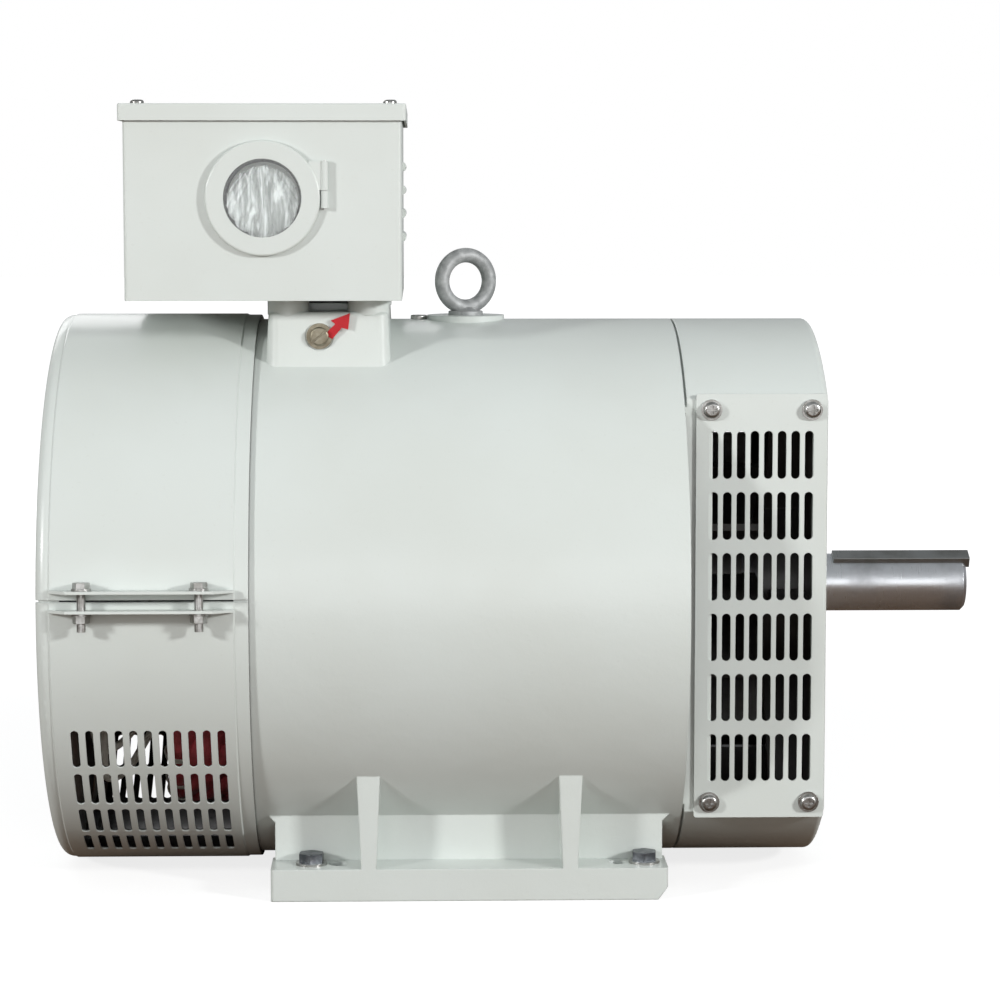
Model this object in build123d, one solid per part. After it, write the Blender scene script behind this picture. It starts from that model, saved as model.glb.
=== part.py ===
from build123d import *
from math import cos, radians, sin, sqrt
import os

# Foot-mounted brushed alternator head with a side-ventilated drive-end bell.
#
# Row frame, millimetres: X runs along the shaft towards its free end, Z is up, and the
# origin is the centre of the four open foot holes on the plane of the soles.
# Lengths named ..._x count from the middle of the barrel unless they say otherwise,
# and heights named ..._rise count from the shaft axis.

os.makedirs("parts", exist_ok=True)

# ---------------------------------------------------------------- driving dimensions
# Frame casting
axis_height = 200.0
barrel_length = 297.0
barrel_radius = 194.0
barrel_wall = 10.0
barrel_shift = -6.0            # middle of the barrel, from the middle of the foot holes
spigot_depth = 5.0
register_wall = 7.0            # what the end registers leave of the barrel wall

# Feet
foot_length = 274.0
foot_half_width = 158.0
foot_thickness = 22.5
foot_strip = 40.0              # width of one foot, measured across the shaft
foot_end_chamfer = 9.0
web_outer = 128.0
web_thickness = 9.0
web_flare = 5.0                # how far a web spreads where it meets the barrel
rib_spacing = 139.0
rib_width_top = 17.3
rib_width_base = 10.4
foot_hole_spacing_x = 194.0
foot_hole_spacing_y = 280.0
foot_hole_diameter = 12.0
foot_bolt_spacing = 231.0

# Pedestal under the terminal box
pedestal_x = -97.0
pedestal_length = 83.0
pedestal_half_width = 100.0
pedestal_rise = 203.0
pedestal_draft = 3.0           # degrees
pedestal_boss_diameter = 29.0
pedestal_boss_height = 9.0
pedestal_boss_spacing_x = 56.0
pedestal_boss_spacing_y = 172.0
cable_way_length = 52.0
cable_way_width = 110.0
cable_rim = 6.0
cable_rim_height = 5.0

# Drive-end bell
bell_length = 100.0
bell_neck_length = 1.6
bell_neck_step = 4.0           # how far the bell's neck stands below its crown
bell_wall = 10.0
cheek_half_width = 130.0
bell_flange_thickness = 8.0
bell_flange_step = 0.5         # of its face behind the barrel's end
bell_screw_circle = barrel_radius - 20
bell_screw_angle = 32.0        # from the horizontal
shield_screw_circle = barrel_radius - 12.5
bell_hub_radius = 70.0
bell_hub_length = 34.0
bell_hub_set_back = 4.0        # of the hub's mouth behind the bell's face
bell_rib_width = 9.0
bell_rib_gap = 8.0             # between the fan and the long ribs above and below it

# Side grilles
grille_thickness = 2.0
grille_length = 90.6
grille_height = 296.0
grille_margin = 8.1            # from the bell's rear face to the grille's edge
grille_columns = 8
grille_rows = 6
grille_pitch_x = 9.4
grille_pitch_z = 42.3
grille_slot_width = 6.0
grille_slot_height = 33.2
grille_screw_inset_x = 10.6
grille_screw_inset_z = 11.0
cheek_opening_start = 168.3    # counted from the barrel's middle
cheek_opening_height = 254.0

# Rear end shield and its band
shield_length = 140.5
shield_radius = barrel_radius + 2
shield_disc = 9.0
shield_ring = 10.0
shield_arm_width = 28.0
shield_arm_thickness = 11.0
shield_arm_angles = (0.0, 52.0, 90.0, 128.0, 180.0, 270.0)
shield_edge_radius = 5.6
shield_hub_radius = 60.0
shield_hub_length = 27.0
band_thickness = 1.9
band_gap = 0.1                 # radial clearance over the shield
band_bead_step = 0.8
band_bead_width = 9.0
band_lip = 8.0
band_slot_columns = 11
band_slot_rows = 4
band_slot_pitch_x = 9.9
band_slot_shift_x = 2.0        # of the pattern from the band's middle, towards the barrel
band_slot_width = 5.4
band_slot_length = 31.5
band_slot_first_angle = 27.0   # below the horizontal, middle of the top row
band_slot_step_angle = 10.8
band_split_angle = 4.2         # above the horizontal, on the front
clamp_gap = 11.0               # between the two flanges
band_split = 1.6               # the slit in the band itself
clamp_flange_base = 124.0
clamp_flange_tip = 98.0
clamp_flange_depth = 17.0
clamp_flange_thickness = 2.0
clamp_bolt_spacing = 78.0
clamp_bolt_length = 29.0

# Terminal box
box_length = 189.5
box_depth = 260.0
box_height = 134.0
box_x = -140.2
box_sheet = 1.5
box_corner_radius = 2.5
box_rim = 14.0                 # inner flange that takes the lid screws
lid_overhang = 3.2
lid_lip = 11.6
lid_gap = 0.2
lid_screw_inset = 8.0
lid_screw_spacing_y = 210.0
louvre_count = 4
louvre_pitch = 16.7
louvre_top_drop = 42.0         # from the box's rim to the first louvre
louvre_length = 90.0
louvre_radius = 3.4

# Inspection window
window_drop = 64.0             # from the box's rim to the window's centre
window_outer_radius = 39.4
window_inner_radius = 28.6
window_thickness = 4.2
window_stand_off = 0.3
window_hinge_reach = 42.4
hinge_radius = 2.4
hinge_pin_radius = 1.25
hinge_ring_knuckle = 20.0
hinge_box_knuckle = 12.0
hinge_gap = 0.3
glass_thickness = 2.0

# Terminal board
board_x = -199.0
board_length = 56.0
board_width = 168.0
board_y = 24.0
board_thickness = 8.0
board_lift = 14.0              # of its underside above the box's floor
stud_rows = 2
stud_columns = 4
stud_pitch_x = 32.0
stud_pitch_y = 38.0
stud_height = 22.0

# Leads
lead_radius = 2.6
lead_spread = 10.0             # between neighbouring leads in the cable way

# Voltmeter
meter_radius = 36.0
meter_depth = 44.0
meter_wall = 2.0
meter_set_back = 4.0
dial_thickness = 1.0
dial_set_back = 12.0
needle_length = 26.0
needle_width = 1.2
needle_pivot_radius = 2.0
needle_rest_angle = 135.0      # from +X, anticlockwise seen from the front

# Stator
core_length = 206.0
core_middle_x = -38.0
core_radius = 160.0
core_bore = 105.0
core_bar_width = 26.0
overhang_rear = 78.0
overhang_gap = 7.5             # between the drive-end winding and the bell's flange
overhang_inner = 113.0
overhang_outer = 151.0
overhang_edge_radius = 13.0

# Rotor
air_gap = 1.0
pole_count = 4
pole_body_width = 62.0
pole_shoe_depth = 22.0
pole_shoe_share = 0.68         # of a pole pitch
yoke_radius = 56.0
field_coil_width = 17.0
field_coil_gap = 0.5
shaft_core_radius = 32.0
fan_hub_radius = 46.0
fan_radius = 114.0
fan_plate = 5.0
fan_blade_count = 13
fan_blade_height = 50.0
fan_blade_thickness = 5.0
fan_blade_lean = 22.0          # degrees, at the root
fan_blade_step = 1.5           # of the blades' tips inside the back plate's rim
fan_start_x = 153.0
fan_seat_radius = 28.0

# Shaft extension
extension_radius = 21.0
extension_length = 110.0
extension_chamfer = 2.5
key_width = 12.0
key_height = 8.0
key_seat_depth = 5.0
key_length = 100.0
key_overhang = 2.6
key_angle = 25.0               # from the top towards the front

# Bearings: drive end 50 x 110 x 27, rear end 40 x 90 x 23
drive_bearing = dict(bore=25.0, outer=55.0, width=27.0, ball=9.525, balls=8)
rear_bearing = dict(bore=20.0, outer=45.0, width=23.0, ball=7.5, balls=8)
bearing_play = 0.05
bearing_stop = 4.0             # width of the lip behind an outer ring
bearing_stop_height = 5.0
bearing_setback = 4.0          # from a hub's mouth to the outer ring

# Bearing caps
cap_flange = 7.5
cap_radius_drive = 70.0
cap_radius_rear = 60.0
cap_screw_count = 4
shaft_clearance = 1.0

# Slip rings and brushes
ring_radius = 45.0
ring_width = 12.0
ring_spacing = 18.0
ring_middle_x = -232.0
ring_hub_radius = 37.0
ring_hub_margin = 3.0
ring_seat_radius = 24.0
brush_x = 8.0
brush_y = 16.0
brush_length = 26.0
brush_travel = 12.0
brush_play = 0.05
holder_wall = 3.5
holder_gap = 2.5               # between the slip ring and the holder
holder_cap = 3.0
spring_wire = 0.6
spring_radius = 3.0
spring_turns = 5
bracket_thickness = 5.0

# Fasteners: shank radius, head width or diameter, head height
m5 = dict(shank=2.5, head=9.5, head_height=3.2)
m6 = dict(shank=3.0, head=11.5, head_height=3.8, across_flats=10.0, hex_height=4.0, nut=5.0)
m8 = dict(shank=4.0, sunk_head=15.6, sunk_height=4.2, across_flats=13.0, hex_height=5.3)
m10 = dict(shank=5.0, across_flats=16.0, hex_height=6.4)
washer_thickness = 1.6
tap_clearance = 0.05
seat_gap = 0.03                # between a washer and the sheet under it
hole_clearance = 0.4

# Eye bolt
eye_radius = 18.7              # middle of the ring's section
eye_section = 5.3
eye_collar_radius = 12.5
eye_collar_height = 3.0
eye_turn = 24.0                # turn about the vertical
eye_boss_radius = 28.0
eye_boss_height = 3.0
eye_rise = 24.5                # ring's centre above the boss

# Small fittings
lock_screw_x = -34.0
lock_screw_radius = 6.0
lock_screw_height = 3.0
earth_screw_x = -103.0
earth_screw_rise = 186.5
earth_head_radius = 6.5
earth_head_height = 4.0
earth_washer_radius = 9.0
earth_washer_thickness = 1.5

# ---------------------------------------------------------------- derived places
middle = barrel_shift
barrel_rear = middle - barrel_length / 2
barrel_front = middle + barrel_length / 2
barrel_bore = barrel_radius - barrel_wall
register_radius = barrel_radius - register_wall
bell_front = barrel_front + bell_length
shield_rear = barrel_rear - shield_length
band_inner = shield_radius + band_gap
band_outer = band_inner + band_thickness
band_rear = shield_rear - band_gap - band_thickness
box_floor = axis_height + pedestal_rise + pedestal_boss_height
box_top = box_floor + box_height
box_middle = middle + box_x
box_front = -box_depth / 2
pedestal_middle = middle + pedestal_x
crown = axis_height + barrel_radius
window_height = box_top - window_drop
CENTRE_MIN = (Align.CENTER, Align.CENTER, Align.MIN)


ring_centres = [middle + ring_middle_x + side * ring_spacing / 2 for side in (-1, 1)]
brush_foot = axis_height + ring_radius + brush_play
holder_low = axis_height + ring_radius + holder_gap
holder_high = brush_foot + brush_length + brush_travel + 4.0
holder_x = (ring_centres[0] - brush_x / 2 - holder_wall, ring_centres[1] + brush_x / 2 + holder_wall)
holder_half_y = brush_y / 2 + holder_wall
bracket_screw_y = 22.0
bracket_screw_rise = 53.0
bracket_x = (shield_rear + shield_hub_length + bearing_stop,
             shield_rear + shield_hub_length + bearing_stop + bracket_thickness)


# ---------------------------------------------------------------- helpers
def rod_x(start, end, radius, y=0.0, z=axis_height):
    """A round bar along X."""
    return Pos(start, y, z) * Rot(0, 90, 0) * Cylinder(radius, end - start, align=CENTRE_MIN)


def rod_y(start, end, radius, x, z):
    """A round bar along Y."""
    return Pos(x, start, z) * Rot(-90, 0, 0) * Cylinder(radius, end - start, align=CENTRE_MIN)


def rod_z(start, end, radius, x, y):
    """A round bar along Z."""
    return Pos(x, y, start) * Cylinder(radius, end - start, align=CENTRE_MIN)


def block(x_span, y_span, z_span):
    """A box between two values on each axis."""
    spans = (x_span, y_span, z_span)
    centre = [(low + high) / 2 for low, high in spans]
    size = [high - low for low, high in spans]
    return Pos(*centre) * Box(*size)


def outline_face(points, plane):
    """A flat face inside a closed polyline."""
    return make_face(plane * Polyline(*points, close=True))


def plate(points, plane, thickness):
    """A flat plate with a given outline, grown along the plane's normal."""
    return extrude(outline_face(points, plane), thickness, dir=plane.z_dir)


def turned(points, rounds=()):
    """A ring turned about the shaft from (x, radius) points, with some corners rounded."""
    face = make_face(Polyline(*[(x, radius) for x, radius in points], close=True))
    for x, radius, size in rounds:
        corner = face.vertices().sort_by_distance(Vector(x, radius, 0))[0]
        face = fillet(corner, size)
    upright = Pos(0, 0, axis_height) * Rot(90, 0, 0) * face
    return revolve(upright, Axis((0, 0, axis_height), (1, 0, 0)), 360)


def ring(start, end, outer, inner):
    """A plain ring about the shaft."""
    return rod_x(start, end, outer) - rod_x(start - 1, end + 1, inner)


def around_shaft(shape, count, first=0.0):
    """Copies of a shape turned about the shaft in equal steps."""
    return [spin(shape, first + step * 360 / count) for step in range(count)]


def spin(shape, angle):
    """A shape turned about the shaft axis; +90 degrees takes +Y to +Z."""
    return Pos(0, 0, axis_height) * Rot(angle, 0, 0) * Pos(0, 0, -axis_height) * shape


def polar(radius, angle):
    """Y and Z of a point round the shaft, the angle counted from +Y towards +Z."""
    return radius * cos(radians(angle)), axis_height + radius * sin(radians(angle))


def group(shapes):
    """Separate solids that share a node."""
    return Compound(children=[solid for shape in shapes for solid in shape.solids()])


def fuse(first, others):
    """One solid from several that overlap."""
    for other in others:
        first = first + other
    return first


def cut(body, tools):
    """A solid less several others."""
    for tool in tools:
        body = body - tool
    return body


def hex_head(across_flats, height):
    """A hexagonal head or nut blank standing on Z=0, with its top corners turned off."""
    blank = extrude(RegularPolygon(across_flats / 2, 6, major_radius=False), height)
    corner = across_flats / sqrt(3)
    drop = corner - across_flats / 2
    cap = Cone(corner + height - drop / 2, corner - drop / 2, height, align=CENTRE_MIN)
    return blank & cap


def hex_bolt(size, length):
    """A hexagon bolt with its seat on Z=0 and its shank pointing down."""
    return hex_head(size["across_flats"], size["hex_height"]) + Pos(0, 0, -length) * Cylinder(
        size["shank"], length + 0.5, align=CENTRE_MIN)


def pan_screw(size, length):
    """A pan-head screw with a cross recess, its seat on Z=0 and its shank pointing down."""
    radius = size["head"] / 2
    height = size["head_height"]
    head = Cylinder(radius, height, align=CENTRE_MIN)
    head = fillet(head.edges().sort_by(Axis.Z)[-1], height * 0.6)
    recess = Box(radius * 1.1, radius * 0.28, height) + Box(radius * 0.28, radius * 1.1, height)
    head = head - Pos(0, 0, height) * recess
    return head + Pos(0, 0, -length) * Cylinder(size["shank"], length + 0.3, align=CENTRE_MIN)


def sunk_cone(size, clearance=0.0):
    """The head of a countersunk screw, or with clearance its seat, flush with Z=0."""
    height = size["sunk_height"]
    return Pos(0, 0, -height) * Cone(size["shank"] + clearance, size["sunk_head"] / 2 + clearance,
                                     height, align=CENTRE_MIN)


def sunk_screw(size, length):
    """A countersunk socket screw with its head flush with Z=0 and its shank pointing down."""
    socket = extrude(RegularPolygon(size["sunk_head"] / 5, 6, major_radius=False), size["sunk_height"])
    head = sunk_cone(size) - Pos(0, 0, -size["sunk_height"] * 0.6) * socket
    return head + Pos(0, 0, -length) * Cylinder(
        size["shank"], length - size["sunk_height"] + 0.2, align=CENTRE_MIN)


def washer(outer, inner, thickness=washer_thickness):
    """A plain washer lying on Z=0."""
    return Cylinder(outer, thickness, align=CENTRE_MIN) - Cylinder(inner, 3 * thickness)


FACING_FRONT = Rot(90, 0, 0)       # local +Z turned to -Y
FACING_BACK = Rot(-90, 0, 0)       # local +Z turned to +Y
FACING_DRIVE = Rot(0, 90, 0)       # local +Z turned to +X
FACING_REAR = Rot(0, -90, 0)       # local +Z turned to -X


# ---------------------------------------------------------------- frame casting
foot_corner_xy = [
    (sx * foot_hole_spacing_x / 2, sy * foot_hole_spacing_y / 2) for sx in (-1, 1) for sy in (-1, 1)
]
foot_bolt_xy = [
    (sx * foot_bolt_spacing / 2, sy * foot_hole_spacing_y / 2) for sx in (-1, 1) for sy in (-1, 1)
]
pedestal_boss_xy = [
    (pedestal_middle + sx * pedestal_boss_spacing_x / 2, sy * pedestal_boss_spacing_y / 2)
    for sx in (-1, 1) for sy in (-1, 1)
]
foot_bolt_length = foot_thickness - 4.0
earth_face = -pedestal_half_width - 0.4
bell_screw_spots = [polar(bell_screw_circle, side + tilt * bell_screw_angle)
                    for side in (0, 180) for tilt in (-1, 1)]
shield_screw_spots = [polar(shield_screw_circle, angle) for angle in (25, 155, 240, 300)]


def make_foot(side):
    """One foot with its web and two ribs; side is -1 for the front and 1 for the back."""
    inner = foot_half_width - foot_strip
    rear = middle - foot_length / 2
    front = middle + foot_length / 2
    sole = block((rear, front), (inner, foot_half_width), (0, foot_thickness))
    toe = sole.edges().filter_by(Axis.Y).group_by(Axis.X)[-1].sort_by(Axis.Z)[0]
    sole = chamfer(toe, foot_end_chamfer, foot_end_chamfer * 0.75)
    sole = fillet(sole.edges().filter_by(Axis.Z), 2.5)
    half_base = foot_length / 2 - 2
    half_top = half_base + web_flare
    flare_z = axis_height - sqrt(barrel_radius ** 2 - web_outer ** 2)
    web_line = [
        (middle - half_base, foot_thickness / 2), (middle + half_base, foot_thickness / 2),
        (middle + half_base, flare_z - web_flare), (middle + half_top, flare_z),
        (middle + half_top, axis_height / 2), (middle - half_top, axis_height / 2),
        (middle - half_top, flare_z), (middle - half_base, flare_z - web_flare),
    ]
    web = plate(web_line, Plane.XZ.offset(-web_outer), web_thickness)
    foot = sole + web
    for end in (-1, 1):
        x = middle + end * rib_spacing / 2
        rib_line = [
            (x - rib_width_base / 2, foot_thickness - 1), (x + rib_width_base / 2, foot_thickness - 1),
            (x + rib_width_top / 2, axis_height / 2), (x - rib_width_top / 2, axis_height / 2),
        ]
        rib_reach = foot_half_width - web_outer + 1
        foot = foot + plate(rib_line, Plane.XZ.offset(-foot_half_width), rib_reach)
    return foot if side > 0 else mirror(foot, Plane.XZ)


def make_pedestal():
    """The hollow stand for the terminal box, cast on the crown of the barrel."""
    top = axis_height + pedestal_rise
    depth = pedestal_rise - barrel_radius * 0.6
    corner = RectangleRounded(pedestal_length, 2 * pedestal_half_width, 7)
    stand = extrude(Pos(pedestal_middle, 0, top) * Rot(180, 0, 0) * corner, depth, taper=-pedestal_draft)
    stand = fillet(stand.faces().sort_by(Axis.Z)[-1].edges(), 3)
    rim = Box(cable_way_length + 2 * cable_rim, cable_way_width + 2 * cable_rim, cable_rim_height,
              align=CENTRE_MIN)
    stand = stand + Pos(pedestal_middle, 0, top) * rim
    for x, y in pedestal_boss_xy:
        stand = stand + rod_z(top - 2, top + pedestal_boss_height, pedestal_boss_diameter / 2, x, y)
    return stand


def make_frame_casting():
    """Barrel, feet, pedestal and eye-bolt boss, cast in one piece."""
    body = rod_x(barrel_rear, barrel_front, barrel_radius)
    body = fuse(body, [make_foot(-1), make_foot(1), make_pedestal()])
    body = body + rod_z(crown - 20, crown + eye_boss_height, eye_boss_radius, middle, 0)
    body = body - rod_x(barrel_rear - 1, barrel_front + 1, barrel_bore)
    cable_way = block(
        (pedestal_middle - cable_way_length / 2, pedestal_middle + cable_way_length / 2),
        (-cable_way_width / 2, cable_way_width / 2),
        (axis_height + barrel_bore * 0.8, box_floor))
    core_start = middle + core_middle_x - core_length / 2
    bars = ring(core_start, core_start + core_length, barrel_bore + 1, core_radius)
    lattice = [spin(block((core_start - 1, core_start + core_length + 1),
                          (-300, 300), (axis_height - core_bar_width / 2, axis_height + core_bar_width / 2)),
                    angle) for angle in (0, 45, 90, 135)]
    bars = bars & fuse(lattice[0], lattice[1:])
    body = fuse(body, bars.solids())
    lug_reach = 38.0
    for y, z in bell_screw_spots:
        body = body + (rod_x(barrel_front - spigot_depth - lug_reach, barrel_front - 1, 13, y, z)
                       & rod_x(barrel_rear, barrel_front, barrel_bore + 2))
    for y, z in shield_screw_spots:
        body = body + (rod_x(barrel_rear + 1, barrel_rear + spigot_depth + lug_reach, 13, y, z)
                       & rod_x(barrel_rear, barrel_front, barrel_bore + 2))
    body = body - rod_x(barrel_front - bell_flange_thickness, barrel_front + 1, register_radius)
    body = body - rod_x(barrel_rear - 1, barrel_rear + spigot_depth, register_radius)
    body = body - cable_way
    tap = m8["shank"] + tap_clearance
    for y, z in bell_screw_spots:
        body = body - rod_x(barrel_front - 30, barrel_front + 1, tap, y, z)
    for y, z in shield_screw_spots:
        body = body - rod_x(barrel_rear - 1, barrel_rear + 24, tap, y, z)
    for x, y in foot_corner_xy:
        body = body - rod_z(-1, foot_thickness + 1, foot_hole_diameter / 2, x, y)
    for x, y in foot_bolt_xy:
        body = body - rod_z(2, foot_thickness + 1, m10["shank"] + tap_clearance, x, y)
    for x, y in pedestal_boss_xy:
        body = body - rod_z(box_floor - 20, box_floor + 1, tap, x, y)
    body = body - rod_z(crown - 14, crown + 9, m10["shank"] + tap_clearance, middle, 0)
    body = body - rod_z(crown - 30, crown + 9, m8["shank"] + tap_clearance, middle + lock_screw_x, 0)
    earth_x = middle + earth_screw_x
    earth_z = axis_height + earth_screw_rise
    body = body - rod_y(earth_face - 9, earth_face + 16, m6["shank"] + tap_clearance, earth_x, earth_z)
    body = body - rod_y(earth_face - 9, earth_face, earth_washer_radius + 0.8, earth_x, earth_z)
    return body


# ---------------------------------------------------------------- drive-end bell and grilles
grille_rear = barrel_front + grille_margin
grille_middle = grille_rear + grille_length / 2
grille_screw_xz = [
    (grille_middle + sx * (grille_length / 2 - grille_screw_inset_x),
     axis_height + sz * (grille_height / 2 - grille_screw_inset_z))
    for sx in (-1, 1) for sz in (-1, 1)
]
hub_mouth = bell_front - bell_hub_set_back
drive_bearing_x = (hub_mouth - bearing_setback - drive_bearing["width"], hub_mouth - bearing_setback)
cap_screw_circle_drive = (drive_bearing["outer"] + bell_hub_radius) / 2


def make_drive_end_bell():
    """Cast bell: a drum cut by two flat cheeks, open behind each grille, with the bearing hub."""
    slab = block((barrel_front - 20, bell_front + 1), (-cheek_half_width, cheek_half_width), (-50, 500))
    drum = rod_x(barrel_front + bell_neck_length, bell_front, barrel_radius) & slab
    drum = fillet(drum.edges().group_by(Axis.X)[-1], 4)
    neck = rod_x(barrel_front - bell_flange_step - 1, barrel_front + bell_neck_length + 1,
                 register_radius - 0.5) & slab
    neck = neck + (rod_x(barrel_front, barrel_front + bell_neck_length + 1,
                         barrel_radius - bell_neck_step) & slab)
    flange = rod_x(barrel_front - bell_flange_thickness, barrel_front - bell_flange_step,
                   register_radius - tap_clearance)
    cavity = rod_x(barrel_front - bell_flange_thickness - 1, bell_front - bell_wall,
                   barrel_radius - bell_wall) & block(
        (barrel_front - 20, bell_front), (-cheek_half_width + bell_wall, cheek_half_width - bell_wall),
        (-50, 500))
    hub = rod_x(bell_front - bell_hub_length - bearing_stop, bell_front, bell_hub_radius)
    body = drum + neck + flange - cavity + hub
    for angle in (0, 60, 120):
        web = block((bell_front - bell_hub_length, bell_front - bell_wall / 2),
                    (-barrel_radius, barrel_radius), (axis_height - 4, axis_height + 4))
        body = body + ((spin(web, angle) & slab) & rod_x(0, bell_front, barrel_radius - 4))
    for side in (-1, 1):
        near = axis_height + side * (fan_radius + bell_rib_gap)
        far = axis_height + side * (barrel_radius - bell_wall / 2)
        body = body + block((barrel_front + bell_neck_length, bell_front - bell_wall / 2),
                            (-bell_rib_width / 2, bell_rib_width / 2), (min(near, far), max(near, far)))
    body = body - rod_x(drive_bearing_x[0], bell_front + 1, drive_bearing["outer"])
    body = body - rod_x(hub_mouth, bell_front + 1, cap_radius_drive + hole_clearance)
    body = body - rod_x(0, bell_front, drive_bearing["outer"] - bearing_stop_height)
    opening = block((middle + cheek_opening_start, bell_front - bell_wall), (-300, 300),
                    (axis_height - cheek_opening_height / 2, axis_height + cheek_opening_height / 2))
    keep_hub = rod_x(bell_front - bell_hub_length - bearing_stop - 1, bell_front, bell_hub_radius)
    inner_slab = block((barrel_front, bell_front),
                       (-cheek_half_width + bell_wall, cheek_half_width - bell_wall), (-50, 500))
    body = body - ((opening - inner_slab) - keep_hub)
    for x, z in grille_screw_xz:
        for side in (-1, 1):
            inner = side * (cheek_half_width - bell_wall + 1)
            outer = side * (cheek_half_width + 1)
            body = body - rod_y(min(inner, outer), max(inner, outer), m6["shank"] + tap_clearance, x, z)
    for y, z in bell_screw_spots:
        body = body - rod_x(barrel_front - 19, barrel_front, m8["shank"] + hole_clearance, y, z)
        body = body - Pos(barrel_front - bell_flange_step, y, z) * FACING_DRIVE * sunk_cone(m8, hole_clearance)
    for angle in range(45, 405, 360 // cap_screw_count):
        y, z = polar(cap_screw_circle_drive, angle)
        body = body - rod_x(hub_mouth - 18, bell_front + 1, m6["shank"] + tap_clearance, y, z)
    return body


def make_side_grille(side):
    """Pressed grille plate over a cheek, with a grid of upright slots."""
    plate = block((grille_rear, grille_rear + grille_length),
                  (cheek_half_width, cheek_half_width + grille_thickness),
                  (axis_height - grille_height / 2, axis_height + grille_height / 2))
    plate = fillet(plate.edges().filter_by(Axis.Y), 2)
    slot = SlotOverall(grille_slot_height, grille_slot_width, rotation=90)
    cells = GridLocations(grille_pitch_x, grille_pitch_z, grille_columns, grille_rows)
    holes = Sketch() + [cell * slot for cell in cells]
    holes = holes + [Pos(x - grille_middle, z - axis_height) * Circle(m6["shank"] + hole_clearance)
                     for x, z in grille_screw_xz]
    face = Plane((grille_middle, cheek_half_width + grille_thickness + 1, axis_height),
                 x_dir=(1, 0, 0), z_dir=(0, -1, 0))
    plate = plate - extrude(face * holes, grille_thickness + 2)
    return plate if side > 0 else mirror(plate, Plane.XZ)


def make_grille_fasteners():
    """Cross-recess screws and their washers for both grilles."""
    screws = []
    washers = []
    seat = cheek_half_width + grille_thickness
    for side, facing in ((-1, FACING_FRONT), (1, FACING_BACK)):
        for x, z in grille_screw_xz:
            washers.append(Pos(x, side * seat, z) * facing * washer(7.2, m6["shank"] + hole_clearance))
            place = Pos(x, side * (seat + washer_thickness), z) * facing
            screws.append(place * pan_screw(m6, washer_thickness + grille_thickness + bell_wall - 2))
    return group(screws), group(washers)


def make_bell_screws():
    """Countersunk screws through the bell's flange into the barrel's lugs."""
    face = barrel_front - bell_flange_step
    return group([Pos(face, y, z) * FACING_DRIVE * sunk_screw(m8, 24) for y, z in bell_screw_spots])


# ---------------------------------------------------------------- rear end shield and band
rear_bearing_x = (shield_rear + bearing_setback, shield_rear + bearing_setback + rear_bearing["width"])
cap_screw_circle_rear = (rear_bearing["outer"] + shield_hub_radius) / 2
band_middle = (barrel_rear + band_rear) / 2


def make_rear_end_shield():
    """Cast basket: a disc with the bearing hub, arms along the machine, and a ring on the barrel."""
    rear = shield_rear
    front = barrel_rear
    arm_inner = shield_radius - shield_arm_thickness
    rim_inner = register_radius - 10
    body = turned(
        [(rear, 0), (rear, shield_radius), (front, shield_radius), (front, register_radius - tap_clearance),
         (front + spigot_depth - 0.5, register_radius - tap_clearance), (front + spigot_depth - 0.5, rim_inner),
         (front - shield_ring, rim_inner), (front - shield_ring, arm_inner), (rear + shield_disc, arm_inner),
         (rear + shield_disc, shield_hub_radius),
         (rear + shield_hub_length + bearing_stop, shield_hub_radius),
         (rear + shield_hub_length + bearing_stop, 0)],
        rounds=[(rear, shield_radius, shield_edge_radius)])
    windows = ring(rear + shield_disc + shield_edge_radius, front - shield_ring,
                   shield_radius + 2, arm_inner - 2)
    lanes = [spin(block((rear, front), (0, 300), (axis_height - shield_arm_width / 2,
                                                  axis_height + shield_arm_width / 2)), angle)
             for angle in shield_arm_angles]
    body = body - cut(windows, lanes)
    for angle in range(30, 390, 60):
        line = [(rear + shield_disc - 1, shield_hub_radius - 2), (rear + shield_hub_length, shield_hub_radius - 2),
                (rear + shield_disc + 1, arm_inner - 2), (rear + shield_disc - 1, arm_inner - 2)]
        body = body + spin(plate(line, Plane.XY.offset(axis_height - 4), 8), angle)
    for y, z in shield_screw_spots:
        body = body - rod_x(front - 20, front + 20, m8["shank"] + hole_clearance, y, z)
        body = body - rod_x(rear + shield_disc + 1, front - shield_ring, 8.5, y, z)
    body = body - rod_x(rear - 1, rear_bearing_x[1], rear_bearing["outer"])
    body = body - rod_x(rear - 1, front, rear_bearing["outer"] - bearing_stop_height)
    for angle in range(45, 405, 360 // cap_screw_count):
        y, z = polar(cap_screw_circle_rear, angle)
        body = body - rod_x(rear - 1, rear + 16, m6["shank"] + tap_clearance, y, z)
    for side in (-1, 1):
        body = body - rod_x(rear + 14, rear + 60, m6["shank"] + tap_clearance, side * bracket_screw_y,
                            axis_height + bracket_screw_rise)
    return body


def make_shield_screws():
    """Hexagon screws through the shield's ring into the barrel."""
    seat = barrel_rear - shield_ring
    return group([Pos(seat, y, z) * FACING_REAR * hex_bolt(m8, 30) for y, z in shield_screw_spots])


def band_slot_tool():
    """Cutters for the ventilation slots, below the horizontal on both sides."""
    profile = SlotOverall(band_slot_length, band_slot_width, rotation=90)
    tools = []
    for row in range(band_slot_rows):
        angle = band_slot_first_angle + row * band_slot_step_angle
        for column in range(band_slot_columns):
            place = column - (band_slot_columns - 1) / 2
            x = band_middle + band_slot_shift_x + place * band_slot_pitch_x
            plane = Plane((x, -shield_radius + 14, axis_height), x_dir=(1, 0, 0), z_dir=(0, -1, 0))
            tool = extrude(plane * profile, 24)
            tools.append(spin(tool, angle))
            tools.append(spin(mirror(tool, Plane.XZ), -angle))
    return tools


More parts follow.
